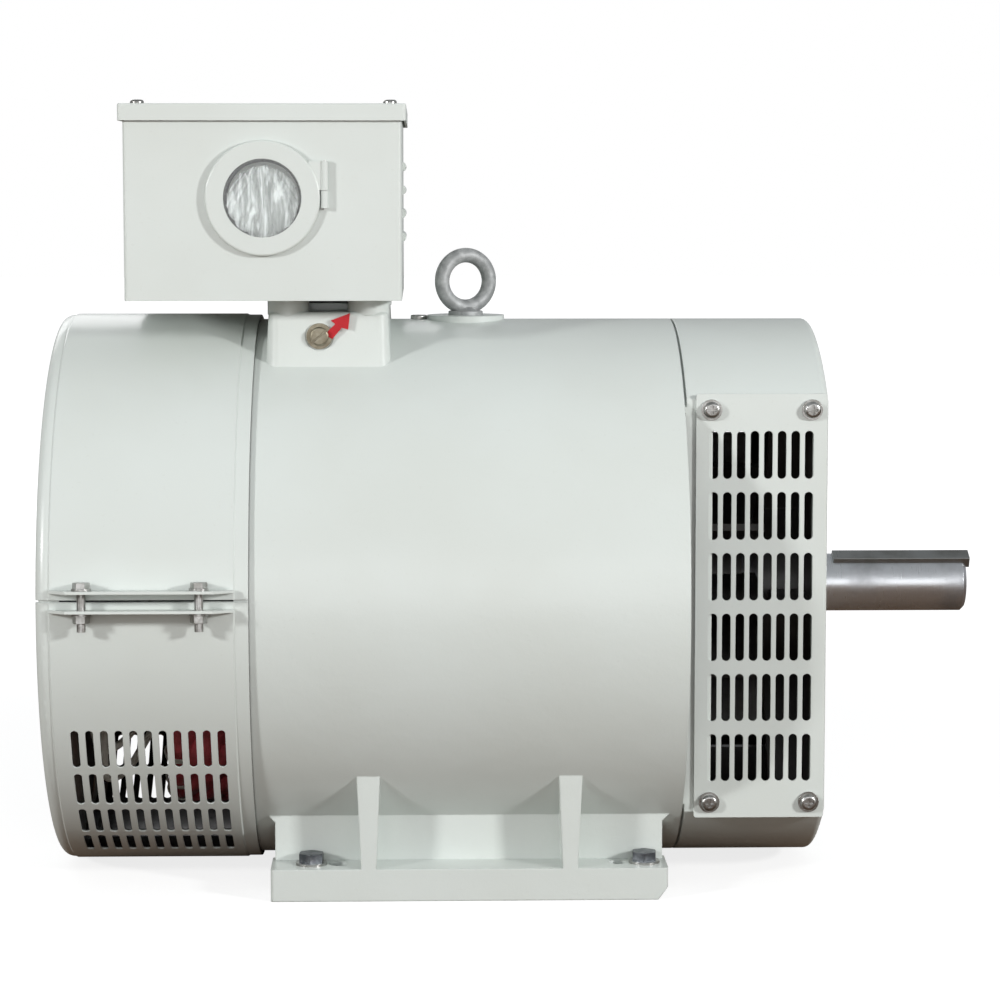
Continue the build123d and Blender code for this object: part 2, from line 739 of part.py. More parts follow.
def make_rear_band():
    """Sheet band wrapped round the shield and drawn together by two flanges at the front."""
    front = barrel_rear
    step = band_outer - band_bead_step
    sheet = turned(
        [(front, band_inner), (front, step), (front - band_bead_width, step),
         (front - band_bead_width - 1, band_outer), (band_rear + band_bead_width + 1, band_outer),
         (band_rear + band_bead_width, step), (band_rear, step),
         (band_rear, band_outer - band_lip - band_thickness),
         (band_rear + band_thickness, band_outer - band_lip - band_thickness),
         (band_rear + band_thickness, band_inner)],
        rounds=[(band_rear, step, shield_edge_radius + band_thickness),
                (band_rear + band_thickness, band_inner, shield_edge_radius)])
    gap = block((band_rear - 1, front + 1), (-300, 0), (axis_height - band_split / 2, axis_height + band_split / 2))
    sheet = sheet - spin(gap, -band_split_angle)
    half_base = clamp_flange_base / 2
    half_tip = clamp_flange_tip / 2
    root = -band_inner + 4
    tip = -band_outer - clamp_flange_depth
    plan = [(band_middle - half_base, root), (band_middle - half_base, -band_outer - 3),
            (band_middle - half_tip, tip), (band_middle + half_tip, tip),
            (band_middle + half_base, -band_outer - 3), (band_middle + half_base, root)]
    for start in (clamp_gap / 2, -clamp_gap / 2 - clamp_flange_thickness):
        flange = plate(plan, Plane.XY.offset(axis_height + start), clamp_flange_thickness)
        for x in clamp_bolt_x:
            flange = flange - rod_z(0, 400, m6["shank"] + hole_clearance, x, clamp_bolt_y)
        flange = flange - rod_x(band_rear - 1, front + 1, band_inner + band_thickness / 2)
        sheet = sheet + spin(flange, -band_split_angle)
    return cut(sheet, band_slot_tool())


clamp_bolt_x = [band_middle + side * clamp_bolt_spacing / 2 for side in (-1, 1)]
clamp_bolt_y = -band_outer - clamp_flange_depth / 2


def make_clamp_fasteners():
    """Two bolts, four washers and two nuts that draw the band together."""
    upper = axis_height + clamp_gap / 2 + clamp_flange_thickness + seat_gap
    lower = axis_height - clamp_gap / 2 - clamp_flange_thickness - seat_gap
    bolts = []
    washers = []
    nuts = []
    flat = washer(6.6, m6["shank"] + 0.2)
    bore = Cylinder(m6["shank"] + tap_clearance, 30)
    for x in clamp_bolt_x:
        bolts.append(Pos(x, clamp_bolt_y, upper + washer_thickness) * hex_bolt(m6, clamp_bolt_length))
        washers.append(Pos(x, clamp_bolt_y, upper) * flat)
        washers.append(Pos(x, clamp_bolt_y, lower - washer_thickness) * flat)
        nut = hex_head(m6["across_flats"], m6["nut"]) - bore
        nuts.append(Pos(x, clamp_bolt_y, lower - washer_thickness) * Rot(180, 0, 0) * nut)
    turn = -band_split_angle
    return tuple(spin(group(items), turn) for items in (bolts, washers, nuts))


# ---------------------------------------------------------------- terminal box
box_rear_x = box_middle - box_length / 2
box_front_x = box_middle + box_length / 2
lid_screw_xy = [
    (box_middle + sx * (box_length / 2 - lid_screw_inset), sy * lid_screw_spacing_y / 2)
    for sx in (-1, 1) for sy in (-1, 1)
]
lid_seat = box_top - box_sheet
gasket_thickness = 2.0


def make_terminal_box():
    """Folded sheet box, open at the top, with a rim for the lid and louvres on the drive side."""
    rim_top = lid_seat - gasket_thickness
    shell = block((box_rear_x, box_front_x), (box_front, -box_front), (box_floor, rim_top))
    shell = fillet(shell.edges().filter_by(Axis.Z), box_corner_radius)
    hollow = block((box_rear_x + box_sheet, box_front_x - box_sheet),
                   (box_front + box_sheet, -box_front - box_sheet), (box_floor + box_sheet, rim_top - box_sheet))
    mouth = block((box_rear_x + box_rim, box_front_x - box_rim),
                  (box_front + box_sheet, -box_front - box_sheet), (box_floor + 20, rim_top + 1))
    body = shell - hollow - mouth
    for index in range(louvre_count):
        z = box_top - louvre_top_drop - index * louvre_pitch
        hood = rod_y(-louvre_length / 2, louvre_length / 2, louvre_radius, box_front_x - box_sheet / 2, z)
        inside = rod_y(-louvre_length / 2 + 1.2, louvre_length / 2 - 1.2, louvre_radius - 1.2,
                       box_front_x - box_sheet / 2, z)
        below = block((box_front_x - 9, box_front_x + 9), (-louvre_length / 2 + 1.2, louvre_length / 2 - 1.2),
                      (z - 9, z - 0.8))
        inner_half = block((box_front_x - 9, box_front_x - box_sheet), (-300, 300), (0, 900))
        slit = block((box_front_x - 9, box_front_x + 0.1), (-louvre_length / 2 + 1.2, louvre_length / 2 - 1.2),
                     (z - louvre_radius + 1.2, z - 0.8))
        body = body + (hood - inner_half - inside - (below - inside))
        body = body - slit
    body = body - rod_y(box_front - 5, box_front + 5, window_inner_radius, box_middle, window_height)
    for x, y in pedestal_boss_xy:
        body = body - rod_z(box_floor - 5, box_floor + 5, m8["shank"] + hole_clearance, x, y)
    cable_hole = block((pedestal_middle - cable_way_length / 2, pedestal_middle + cable_way_length / 2),
                       (-cable_way_width / 2, cable_way_width / 2), (box_floor - 5, box_floor + 5))
    body = body - cable_hole
    for x, y in lid_screw_xy:
        body = body - rod_z(rim_top - 5, rim_top + 5, m5["shank"] + tap_clearance, x, y)
    return body


def make_lid_gasket():
    """Foam strip between the box's rim and the lid."""
    rim_top = lid_seat - gasket_thickness
    strip = block((box_rear_x + 1, box_front_x - 1), (box_front + 1, -box_front - 1), (rim_top, lid_seat))
    strip = strip - block((box_rear_x + box_rim - 1, box_front_x - box_rim + 1),
                          (box_front + 10, -box_front - 10), (rim_top - 1, lid_seat + 1))
    for x, y in lid_screw_xy:
        strip = strip - rod_z(rim_top - 5, lid_seat + 5, m5["shank"] + tap_clearance, x, y)
    return strip


def make_box_lid():
    """Folded lid whose lip hangs outside the box."""
    outer = block((box_rear_x - lid_overhang, box_front_x + lid_overhang),
                  (box_front - lid_overhang, -box_front + lid_overhang), (box_top - lid_lip, box_top))
    outer = fillet(outer.edges().filter_by(Axis.Z), box_corner_radius)
    outer = fillet(outer.edges().group_by(Axis.Z)[-1], 1.2)
    wall = lid_overhang - box_sheet
    inner = block((box_rear_x - wall, box_front_x + wall), (box_front - wall, -box_front + wall),
                  (box_top - lid_lip - 1, box_top - box_sheet))
    lid = outer - inner
    for x, y in lid_screw_xy:
        lid = lid - rod_z(box_top - 9, box_top + 9, m5["shank"] + hole_clearance, x, y)
    return lid


def make_lid_screws():
    """Four pan-head screws through the lid."""
    return group([Pos(x, y, box_top) * pan_screw(m5, 12) for x, y in lid_screw_xy])


def make_box_screws():
    """Four screws through the box's floor into the pedestal's bosses."""
    return group([Pos(x, y, box_floor + box_sheet) * hex_bolt(m8, 16) for x, y in pedestal_boss_xy])


def make_cable_grommet():
    """Rubber edge round the cable way, gripping the box's floor."""
    half_x = cable_way_length / 2
    half_y = cable_way_width / 2

    def frame(reach, inner, low, high):
        outer = block((pedestal_middle - half_x - reach, pedestal_middle + half_x + reach),
                      (-half_y - reach, half_y + reach), (low, high))
        return outer - block((pedestal_middle - half_x + inner, pedestal_middle + half_x - inner),
                             (-half_y + inner, half_y - inner), (low - 1, high + 1))

    sleeve = frame(-0.2, 3.0, axis_height + pedestal_rise + cable_rim_height, box_floor + box_sheet + 2)
    collar = frame(4.0, 3.0, box_floor + box_sheet, box_floor + box_sheet + 2)
    return sleeve + collar


# ---------------------------------------------------------------- inspection window and meter
ring_back = box_front - window_stand_off
ring_front = ring_back - window_thickness
hinge_x = box_middle + window_hinge_reach
hinge_y = (ring_back + ring_front) / 2 - 0.6
hinge_split = window_height + 5.0


def make_window_ring():
    """Hinged bezel that holds the glass, with one knuckle of its hinge."""
    bezel = rod_y(ring_front, ring_back, window_outer_radius, box_middle, window_height)
    bezel = fillet(bezel.edges().filter_by(GeomType.CIRCLE).group_by(Axis.Y)[0], 1.6)
    leaf = block((box_middle + window_outer_radius - 8, hinge_x), (hinge_y - 0.9, hinge_y + 0.9),
                 (hinge_split + hinge_gap, hinge_split + hinge_ring_knuckle))
    knuckle = rod_z(hinge_split + hinge_gap, hinge_split + hinge_ring_knuckle, hinge_radius, hinge_x, hinge_y)
    body = bezel + leaf + knuckle
    body = body - rod_y(ring_front - 1, ring_back + 1, window_inner_radius - 2, box_middle, window_height)
    body = body - rod_y(ring_back - glass_thickness - 0.4, ring_back + 1, window_inner_radius + 1.5,
                        box_middle, window_height)
    return body - rod_z(0, 900, hinge_pin_radius + bearing_play, hinge_x, hinge_y)


def make_window_glass():
    """Clear disc behind the bezel's lip."""
    back = ring_back - 0.4
    return rod_y(back - glass_thickness, back, window_inner_radius + 1.4, box_middle, window_height)


def make_hinge_bracket():
    """The knuckle and leaf that are fixed to the box."""
    low = hinge_split - hinge_box_knuckle
    arm = block((hinge_x - hinge_radius / 2, hinge_x + hinge_radius), (hinge_y, box_front), (low, hinge_split))
    knuckle = rod_z(low, hinge_split, hinge_radius, hinge_x, hinge_y)
    return (arm + knuckle) - rod_z(0, 900, hinge_pin_radius + 0.01, hinge_x, hinge_y)


def make_hinge_pin():
    """Pin through both knuckles."""
    low = hinge_split - hinge_box_knuckle
    return rod_z(low - 0.6, hinge_split + hinge_ring_knuckle + 0.6, hinge_pin_radius, hinge_x, hinge_y)


meter_front = box_front + box_sheet + meter_set_back
dial_y = meter_front + dial_set_back
needle_y = dial_y - 3.0


def make_voltmeter_case():
    """Round moulded case behind the window, open at the front."""
    shell = rod_y(meter_front, meter_front + meter_depth, meter_radius, box_middle, window_height)
    hollow = rod_y(meter_front - 1, meter_front + meter_depth - meter_wall, meter_radius - meter_wall,
                   box_middle, window_height)
    case = shell - hollow
    flange = rod_y(box_front + box_sheet, meter_front + meter_wall, meter_radius + 4, box_middle,
                   window_height)
    flange = flange - rod_y(box_front, meter_front + 9, meter_radius - meter_wall, box_middle, window_height)
    return case + flange


def make_voltmeter_dial():
    """Flat scale plate."""
    return rod_y(dial_y, dial_y + dial_thickness, meter_radius - meter_wall, box_middle, window_height)


pivot_z = window_height - meter_radius * 0.42


def make_voltmeter_needle():
    """Pointer with its boss and counterweight."""
    boss = rod_y(needle_y - 0.5, dial_y - 0.1, needle_pivot_radius, box_middle, pivot_z)
    arm = block((box_middle - 6, box_middle + needle_length), (needle_y - 0.4, needle_y + 0.4),
                (pivot_z - needle_width / 2, pivot_z + needle_width / 2))
    arm = Pos(box_middle, 0, pivot_z) * Rot(0, -needle_rest_angle, 0) * Pos(-box_middle, 0, -pivot_z) * arm
    return boss + arm


# ---------------------------------------------------------------- stator
core_rear = middle + core_middle_x - core_length / 2
core_front = core_rear + core_length


def make_stator_core():
    """Stack of laminations with its slots open to the bore."""
    return ring(core_rear, core_front, core_radius, core_bore)


def make_overhang(start, end):
    """One end of the stator winding, a varnished crown of coil ends."""
    low, high = min(start, end), max(start, end)
    profile = [(low, overhang_inner), (low, overhang_outer), (high, overhang_outer), (high, overhang_inner)]
    rounds = [(end, overhang_outer, overhang_edge_radius), (end, overhang_inner, overhang_edge_radius * 0.8)]
    return turned(profile, rounds)


board_low = box_floor + box_sheet + board_lift
board_high = board_low + board_thickness
stud_xy = [(middle + board_x + (column - 0.5) * stud_pitch_x,
            board_y + (row - (stud_columns - 1) / 2) * stud_pitch_y)
           for column in range(stud_rows) for row in range(stud_columns)]


def make_terminal_board():
    """Moulded board on two feet, drilled for the studs."""
    centre = middle + board_x
    span_x = (centre - board_length / 2, centre + board_length / 2)
    low_y = board_y - board_width / 2
    high_y = board_y + board_width / 2
    body = block(span_x, (low_y, high_y), (board_low, board_high))
    for foot_y in (low_y, high_y - 12):
        body = body + block(span_x, (foot_y, foot_y + 12), (box_floor + box_sheet, board_low + 1))
    for x, y in stud_xy:
        body = body - rod_z(board_low - 1, board_high + 1, m6["shank"] + tap_clearance, x, y)
    return fillet(body.edges().filter_by(Axis.Z).group_by(Axis.Y)[-1], 2)


def make_terminal_studs():
    """Brass studs, each with the nut that clamps its lead."""
    studs = []
    for x, y in stud_xy:
        stud = rod_z(board_low, board_high + stud_height, m6["shank"], x, y)
        nut = Pos(x, y, board_high) * hex_head(m6["across_flats"], m6["nut"])
        studs.append(stud + nut)
    return group(studs)


def lead(points):
    """A sleeved lead through hand-placed points, its bends as large as the runs allow."""
    bends = []
    for before, corner, after in zip(points, points[1:], points[2:]):
        a = Vector(*before) - Vector(*corner)
        b = Vector(*after) - Vector(*corner)
        turn = radians(180 - a.get_angle(b))
        bends.append(0.45 * min(a.length, b.length) / (sin(turn / 2) / cos(turn / 2)))
    path = FilletPolyline(*[Vector(*point) for point in points], radius=bends)
    return sweep(Plane(path @ 0, z_dir=path % 0) * Circle(lead_radius), path=path)


def make_winding_leads():
    """Leads from the rear coil ends: two to the brush holder and four to the terminal board."""
    end = core_rear - overhang_rear - 2.0
    holder_y = -holder_half_y - 0.3
    brush_leads = [
        [(end, -118, axis_height - 66), (end - 16, -126, axis_height - 92), (end - 34, -136, axis_height - 102),
         (end - 42, -151, axis_height - 55), (end - 40, -152, axis_height + 18),
         (end - 38, -116, axis_height + 82), (ring_centres[0], -60, axis_height + 76),
         (ring_centres[0], holder_y, axis_height + 76)],
        [(end, -102, axis_height - 88), (end - 18, -112, axis_height - 118), (end - 32, -124, axis_height - 122),
         (end - 30, -146, axis_height - 82), (end - 24, -157, axis_height - 8),
         (end - 20, -128, axis_height + 70), (ring_centres[1], -62, axis_height + 78),
         (ring_centres[1], holder_y, axis_height + 78)],
    ]
    leads = [lead(points) for points in brush_leads]
    way_z = axis_height + (core_radius + barrel_bore) / 2 - 3.5
    for index, (x, y) in enumerate(stud_xy[stud_columns:]):
        side = -1 if index < 2 else 1
        way_y = side * (22 + lead_spread * (index % 2))
        start_z = axis_height + sqrt(overhang_outer ** 2 - way_y ** 2) + 0.6 * lead_radius
        floor = board_high + m6["nut"] + lead_radius + 1
        leads.append(lead([
            (core_rear - 22, way_y, start_z), (core_rear - 20, way_y, way_z),
            (pedestal_middle + 3, way_y, way_z + 0.5), (pedestal_middle, way_y, floor + 6),
            (pedestal_middle - 32, way_y + (y - way_y) * 0.6, floor + 8),
            (x + m6["shank"] + lead_radius + 0.3, y, floor),
        ]))
    return group(leads)


# ---------------------------------------------------------------- rotor
rotor_radius = core_bore - air_gap
extension_start = bell_front + cap_flange
extension_end = extension_start + extension_length
key_start = extension_end + key_overhang - key_length
fan_start = middle + fan_start_x
ring_hub_x = (ring_centres[0] - ring_width / 2 - ring_hub_margin,
              ring_centres[1] + ring_width / 2 + ring_hub_margin)


def toward_key(radius_low, radius_high, x_span, width):
    """A bar along the shaft on the keyway's side, between two distances from the axis."""
    bar = block(x_span, (-width / 2, width / 2), (axis_height + radius_low, axis_height + radius_high))
    return spin(bar, key_angle)


def make_shaft():
    """Stepped shaft with a chamfered end and a keyway that runs out of it."""
    rear_end = rear_bearing_x[0] - 1.5
    seat = rear_bearing["bore"]
    drive_seat = drive_bearing["bore"]
    steps = [
        (rear_end, 0), (rear_end, seat - 1.5), (rear_end + 1.5, seat), (rear_bearing_x[1], seat),
        (rear_bearing_x[1], ring_seat_radius), (ring_hub_x[1], ring_seat_radius),
        (ring_hub_x[1], ring_seat_radius + 4), (core_rear, ring_seat_radius + 4),
        (core_rear, shaft_core_radius), (core_front, shaft_core_radius),
        (core_front, fan_seat_radius), (drive_bearing_x[0] - 8, fan_seat_radius),
        (drive_bearing_x[0] - 8, drive_seat + 4), (drive_bearing_x[0], drive_seat + 4),
        (drive_bearing_x[0], drive_seat), (extension_start, drive_seat),
        (extension_start, extension_radius), (extension_end - extension_chamfer, extension_radius),
        (extension_end, extension_radius - extension_chamfer), (extension_end, 0),
    ]
    seat_floor = extension_radius - key_seat_depth
    keyway = toward_key(seat_floor, extension_radius + 9, (key_start, extension_end + 9), key_width)
    return spin(turned(steps), 180) - keyway


def make_shaft_key():
    """Parallel key, square-ended, that stands a little past the shaft's end."""
    floor_radius = extension_radius - key_seat_depth + tap_clearance
    key = toward_key(floor_radius, floor_radius + key_height, (key_start + tap_clearance,
                     extension_end + key_overhang), key_width - 2 * tap_clearance)
    return chamfer(key.edges().filter_by(Axis.X), 0.5)


def make_rotor_core():
    """Four salient poles on a common yoke."""
    half_shoe = 180 / pole_count * pole_shoe_share
    yoke = rod_x(core_rear, core_front, yoke_radius)
    shoe_ring = ring(core_rear, core_front, rotor_radius, rotor_radius - pole_shoe_depth)
    body = yoke
    for pole in range(pole_count):
        turn = 45 + pole * 360 / pole_count
        limb = block((core_rear, core_front), (0, rotor_radius - pole_shoe_depth / 2),
                     (axis_height - pole_body_width / 2, axis_height + pole_body_width / 2))
        reach = 2 * rotor_radius
        spread = reach * sin(radians(half_shoe)) / cos(radians(half_shoe))
        sector = make_face(Polyline((0, 0), (reach, spread), (reach, -spread), close=True))
        wedge = extrude(Plane.YZ.offset(core_rear) * Pos(0, axis_height) * sector, core_length, dir=(1, 0, 0))
        body = body + spin(limb, turn) + (shoe_ring & spin(wedge, turn))
    return body - rod_x(core_rear - 1, core_front + 1, shaft_core_radius + tap_clearance)


def make_field_coils():
    """Four wound coils, one round each pole body."""
    low = yoke_radius - 6
    high = rotor_radius - pole_shoe_depth - field_coil_gap
    coils = []
    for pole in range(pole_count):
        inner_z = pole_body_width / 2 + field_coil_gap
        outer_z = inner_z + field_coil_width
        outer = block((core_rear - field_coil_width - field_coil_gap,
                       core_front + field_coil_width + field_coil_gap), (low, high),
                      (axis_height - outer_z, axis_height + outer_z))
        outer = fillet(outer.edges().filter_by(Axis.Y), field_coil_width * 0.8)
        inner = block((core_rear - field_coil_gap, core_front + field_coil_gap), (low - 1, high + 1),
                      (axis_height - inner_z, axis_height + inner_z))
        coil = spin(outer - inner, 45 + pole * 360 / pole_count)
        coil = coil - ring(core_rear - 99, core_front + 99, 400, rotor_radius - pole_shoe_depth - field_coil_gap)
        coils.append(coil - rod_x(core_rear - 99, core_front + 99, yoke_radius + field_coil_gap))
    return group(coils)


def make_fan():
    """Radial fan: a back plate, a hub and blades that lean back from the radius."""
    start = fan_start
    disc = rod_x(start, start + fan_plate, fan_radius)
    hub = rod_x(start, start + fan_plate + fan_blade_height * 0.8, fan_hub_radius)
    half = fan_blade_thickness / 2
    root = fan_hub_radius - 4
    blade_line = [(root, -half), (fan_radius + 9, -half), (fan_radius + 9, half), (root, half)]
    face = Pos(root, 0) * Rot(0, 0, fan_blade_lean) * Pos(-root, 0) * make_face(
        Polyline(*blade_line, close=True))
    blade = extrude(Plane.YZ.offset(start + 1) * Pos(0, axis_height) * face,
                    fan_plate + fan_blade_height - 1, dir=(1, 0, 0))
    blade = blade & rod_x(start, start + fan_plate + fan_blade_height + 1, fan_radius - fan_blade_step)
    body = fuse(disc + hub, around_shaft(blade, fan_blade_count))
    return body - rod_x(start - 1, start + 99, fan_seat_radius + tap_clearance)


def make_slip_ring_hub():
    """Moulded sleeve that carries and separates the slip rings."""
    hub = ring(ring_hub_x[0], ring_hub_x[1], ring_hub_radius, ring_seat_radius + tap_clearance)
    middle_x = (ring_centres[0] + ring_centres[1]) / 2
    gap = ring_spacing - ring_width
    barrier = ring(middle_x - gap / 4, middle_x + gap / 4, ring_radius + 2, ring_hub_radius - 1)
    return hub + barrier


def make_slip_rings():
    """Two brass rings shrunk on the hub."""
    return group([ring(x - ring_width / 2, x + ring_width / 2, ring_radius, ring_hub_radius + tap_clearance)
                  for x in ring_centres])


def bearing_parts(size, span):
    """Outer ring, inner ring, balls and cage of a deep-groove ball bearing."""
    start, end = span
    pitch = (size["bore"] + size["outer"]) / 2
    centre = (start + end) / 2
    ball = size["ball"]
    land = ball * 0.62
    groove = Pos(centre, 0, axis_height) * Rot(0, 90, 0) * Torus(pitch, ball + bearing_play)
    outer = ring(start, end, size["outer"] - 0.02, pitch + land) - groove
    inner = ring(start, end, pitch - land, size["bore"] + 0.02) - groove
    sphere = Pos(centre, pitch, axis_height) * Sphere(ball)
    balls = around_shaft(sphere, size["balls"])
    cage = ring(centre - ball * 1.15, centre + ball * 1.15, pitch + ball * 0.22, pitch - ball * 0.22)
    pocket = Pos(centre, pitch, axis_height) * Sphere(ball + bearing_play)
    cage = cut(cage, around_shaft(pocket, size["balls"]))
    return outer, inner, group(balls), cage


def make_bearing_cap(mouth, outward, radius, bearing, screw_circle, bore):
    """Turned cap over a bearing; outward is 1 towards the drive end and -1 towards the rear."""
    face = mouth + outward * cap_flange
    low, high = min(mouth, face), max(mouth, face)
    cap = rod_x(low, high, radius)
    edge = cap.edges().filter_by(GeomType.CIRCLE).sort_by(Axis.X)[-1 if outward > 0 else 0]
    cap = fillet(edge, 2)
    nose = mouth - outward * (bearing_setback - 0.1)
    cap = cap + ring(min(nose, mouth), max(nose, mouth), bearing["outer"] - tap_clearance,
                     bearing["outer"] - 6)
    if bore:
        cap = cap - rod_x(low - 9, high + 9, bore)
    for angle in range(45, 405, 360 // cap_screw_count):
        y, z = polar(screw_circle, angle)
        cap = cap - rod_x(low - 9, high + 9, m6["shank"] + hole_clearance, y, z)
    return cap


def make_cap_screws(mouth, outward, screw_circle):
    """Hexagon screws that hold a bearing cap."""
    facing = FACING_DRIVE if outward > 0 else FACING_REAR
    screws = []
    for angle in range(45, 405, 360 // cap_screw_count):
        y, z = polar(screw_circle, angle)
        screws.append(Pos(mouth + outward * cap_flange, y, z) * facing * hex_bolt(m6, 20))
    return group(screws)


# ---------------------------------------------------------------- brush gear
def make_brush_holder():
    """Moulded block with a guide for each brush."""
    body = block(holder_x, (-holder_half_y, holder_half_y), (holder_low, holder_high))
    for x in ring_centres:
        body = body - block((x - brush_x / 2 - brush_play, x + brush_x / 2 + brush_play),
                            (-brush_y / 2 - brush_play, brush_y / 2 + brush_play),
                            (holder_low - 1, holder_high + 1))
    return body


def make_brush_bracket():
    """Angle bracket from the shield's hub to the brush holder."""
    plate = block(bracket_x, (-bracket_screw_y - 9, bracket_screw_y + 9),
                  (axis_height + ring_radius, holder_high))
    shelf = block((bracket_x[1] - 1, holder_x[0]), (-holder_half_y, holder_half_y),
                  (holder_high - 16, holder_high))
    body = plate + shelf
    for side in (-1, 1):
        body = body - rod_x(bracket_x[0] - 9, bracket_x[1] + 9, m6["shank"] + hole_clearance,
                            side * bracket_screw_y, axis_height + bracket_screw_rise)
    return body


def make_bracket_screws():
    """Two screws into the shield's hub."""
    return group([Pos(bracket_x[1], side * bracket_screw_y, axis_height + bracket_screw_rise)
                  * FACING_DRIVE * pan_screw(m6, 16) for side in (-1, 1)])


def make_holder_cap():
    """Cover that the brush springs push against."""
    return block(holder_x, (-holder_half_y, holder_half_y), (holder_high, holder_high + holder_cap))


def make_brush(x):
    """Carbon brush with its foot hollowed to the slip ring."""
    body = block((x - brush_x / 2, x + brush_x / 2), (-brush_y / 2, brush_y / 2),
                 (axis_height + ring_radius - 3, brush_foot + brush_length))
    return body - rod_x(x - 20, x + 20, ring_radius + brush_play)


def make_brush_spring(x):
    """Helical spring between a brush and the holder's cap."""
    low = brush_foot + brush_length + 0.1 + spring_wire
    high = holder_high - 0.1 - spring_wire
    height = high - low
    path = Helix(pitch=height / spring_turns, height=height, radius=spring_radius)
    wire = Plane(path @ 0, z_dir=path % 0) * Circle(spring_wire)
    return Pos(x, 0, low) * sweep(wire, path=path)


# ---------------------------------------------------------------- fittings outside
def make_eye_bolt():
    """Cast lifting eye: a ring on a collar, turned a little off square, with its threaded shank."""
    seat = crown + eye_boss_height
    torus = Torus(eye_radius, eye_section)
    eye = Pos(middle, 0, seat + eye_rise) * Rot(0, 0, eye_turn) * Rot(90, 0, 0) * torus
    collar = Pos(middle, 0, seat) * Cylinder(eye_collar_radius, eye_collar_height, align=CENTRE_MIN)
    collar = fillet(collar.edges().sort_by(Axis.Z)[-1], 1.0)
    stalk_height = eye_rise - eye_radius
    stalk = Pos(middle, 0, seat + eye_collar_height) * Cone(
        eye_section + 3.5, eye_section, stalk_height - eye_collar_height, align=CENTRE_MIN)
    shank = rod_z(seat - 12, seat + 1, m10["shank"], middle, 0)
    return eye + collar + stalk + shank


def make_core_lock_screw():
    """Slotted screw through the barrel that keeps the core from turning."""
    x = middle + lock_screw_x
    head = rod_z(crown - 0.3, crown + lock_screw_height, lock_screw_radius, x, 0)
    head = fillet(head.edges().sort_by(Axis.Z)[-1], 1.0)
    shank = rod_z(crown - 18, crown, m8["shank"], x, 0)
    slot = block((x - 9, x + 9), (-0.8, 0.8), (crown + lock_screw_height - 1.4, crown + 9))
    lip = rod_x(x - 20, x + 20, barrel_radius)
    return (head - lip) + (shank) - slot


def make_earth_fittings():
    """Earthing screw with its washer, on a spot face in the pedestal's front."""
    x = middle + earth_screw_x
    z = axis_height + earth_screw_rise
    plain = Pos(x, earth_face, z) * FACING_FRONT * washer(
        earth_washer_radius, m6["shank"] + 0.2, earth_washer_thickness)
    head = Cylinder(earth_head_radius, earth_head_height, align=CENTRE_MIN)
    head = fillet(head.edges().sort_by(Axis.Z)[-1], 1.4)
    head = head - Pos(0, 0, earth_head_height) * Box(30, 1.4, 2.8)
    head = Pos(x, earth_face - earth_washer_thickness, z) * FACING_FRONT * Rot(0, 0, 40) * head
    shank = rod_y(earth_face - earth_washer_thickness - 1, earth_face + 12, m6["shank"], x, z)
    return head + shank, plain


def make_foot_fasteners():
    """Four hexagon bolts with washers in the outer holes of the feet."""
    bolts = [Pos(x, y, foot_thickness + washer_thickness) * Rot(0, 0, 26) * hex_bolt(m10, foot_bolt_length)
             for x, y in foot_bolt_xy]
    washers = [Pos(x, y, foot_thickness) * washer(10.8, m10["shank"] + 0.3) for x, y in foot_bolt_xy]
    return group(bolts), group(washers)


# ---------------------------------------------------------------- assembly
pieces = {
    "frame_casting": make_frame_casting(),
    "drive_end_bell": make_drive_end_bell(),
    "side_grille_front": make_side_grille(-1),
    "side_grille_back": make_side_grille(1),
    "bell_screws": make_bell_screws(),
    "rear_end_shield": make_rear_end_shield(),
    "rear_shield_screws": make_shield_screws(),
    "rear_band": make_rear_band(),
    "terminal_box": make_terminal_box(),
    "lid_gasket": make_lid_gasket(),
    "box_lid": make_box_lid(),
    "lid_screws": make_lid_screws(),
    "box_screws": make_box_screws(),
    "cable_grommet": make_cable_grommet(),
    "window_ring": make_window_ring(),
    "window_glass": make_window_glass(),
    "window_hinge_bracket": make_hinge_bracket(),
    "window_hinge_pin": make_hinge_pin(),
    "voltmeter_case": make_voltmeter_case(),
    "voltmeter_dial": make_voltmeter_dial(),
    "voltmeter_needle": make_voltmeter_needle(),
    "terminal_board": make_terminal_board(),
    "terminal_studs": make_terminal_studs(),
    "winding_leads": make_winding_leads(),
    "stator_core": make_stator_core(),
    "stator_winding_rear": make_overhang(core_rear, core_rear - overhang_rear),
    "stator_winding_drive": make_overhang(core_front, barrel_front - bell_flange_thickness - overhang_gap),
    "shaft": make_shaft(),
    "shaft_key": make_shaft_key(),
    "rotor_core": make_rotor_core(),
    "field_coils": make_field_coils(),
    "cooling_fan": make_fan(),
    "slip_ring_hub": make_slip_ring_hub(),
    "slip_rings": make_slip_rings(),
    "drive_bearing_cap": make_bearing_cap(hub_mouth, 1, cap_radius_drive, drive_bearing,
                                          cap_screw_circle_drive, drive_bearing["bore"] + shaft_clearance),
    "rear_bearing_cap": make_bearing_cap(shield_rear, -1, cap_radius_rear, rear_bearing,
                                         cap_screw_circle_rear, 0.0),
    "bearing_cap_screws": group([make_cap_screws(hub_mouth, 1, cap_screw_circle_drive),
                                 make_cap_screws(shield_rear, -1, cap_screw_circle_rear)]),
    "brush_holder": make_brush_holder(),
    "brush_bracket": make_brush_bracket(),
    "brush_bracket_screws": make_bracket_screws(),
    "brush_holder_cap": make_holder_cap(),
    "brush_1": make_brush(ring_centres[0]),
    "brush_2": make_brush(ring_centres[1]),
    "brush_spring_1": make_brush_spring(ring_centres[0]),
    "brush_spring_2": make_brush_spring(ring_centres[1]),
    "eye_bolt": make_eye_bolt(),
    "core_lock_screw": make_core_lock_screw(),
}
pieces["grille_screws"], pieces["grille_washers"] = make_grille_fasteners()
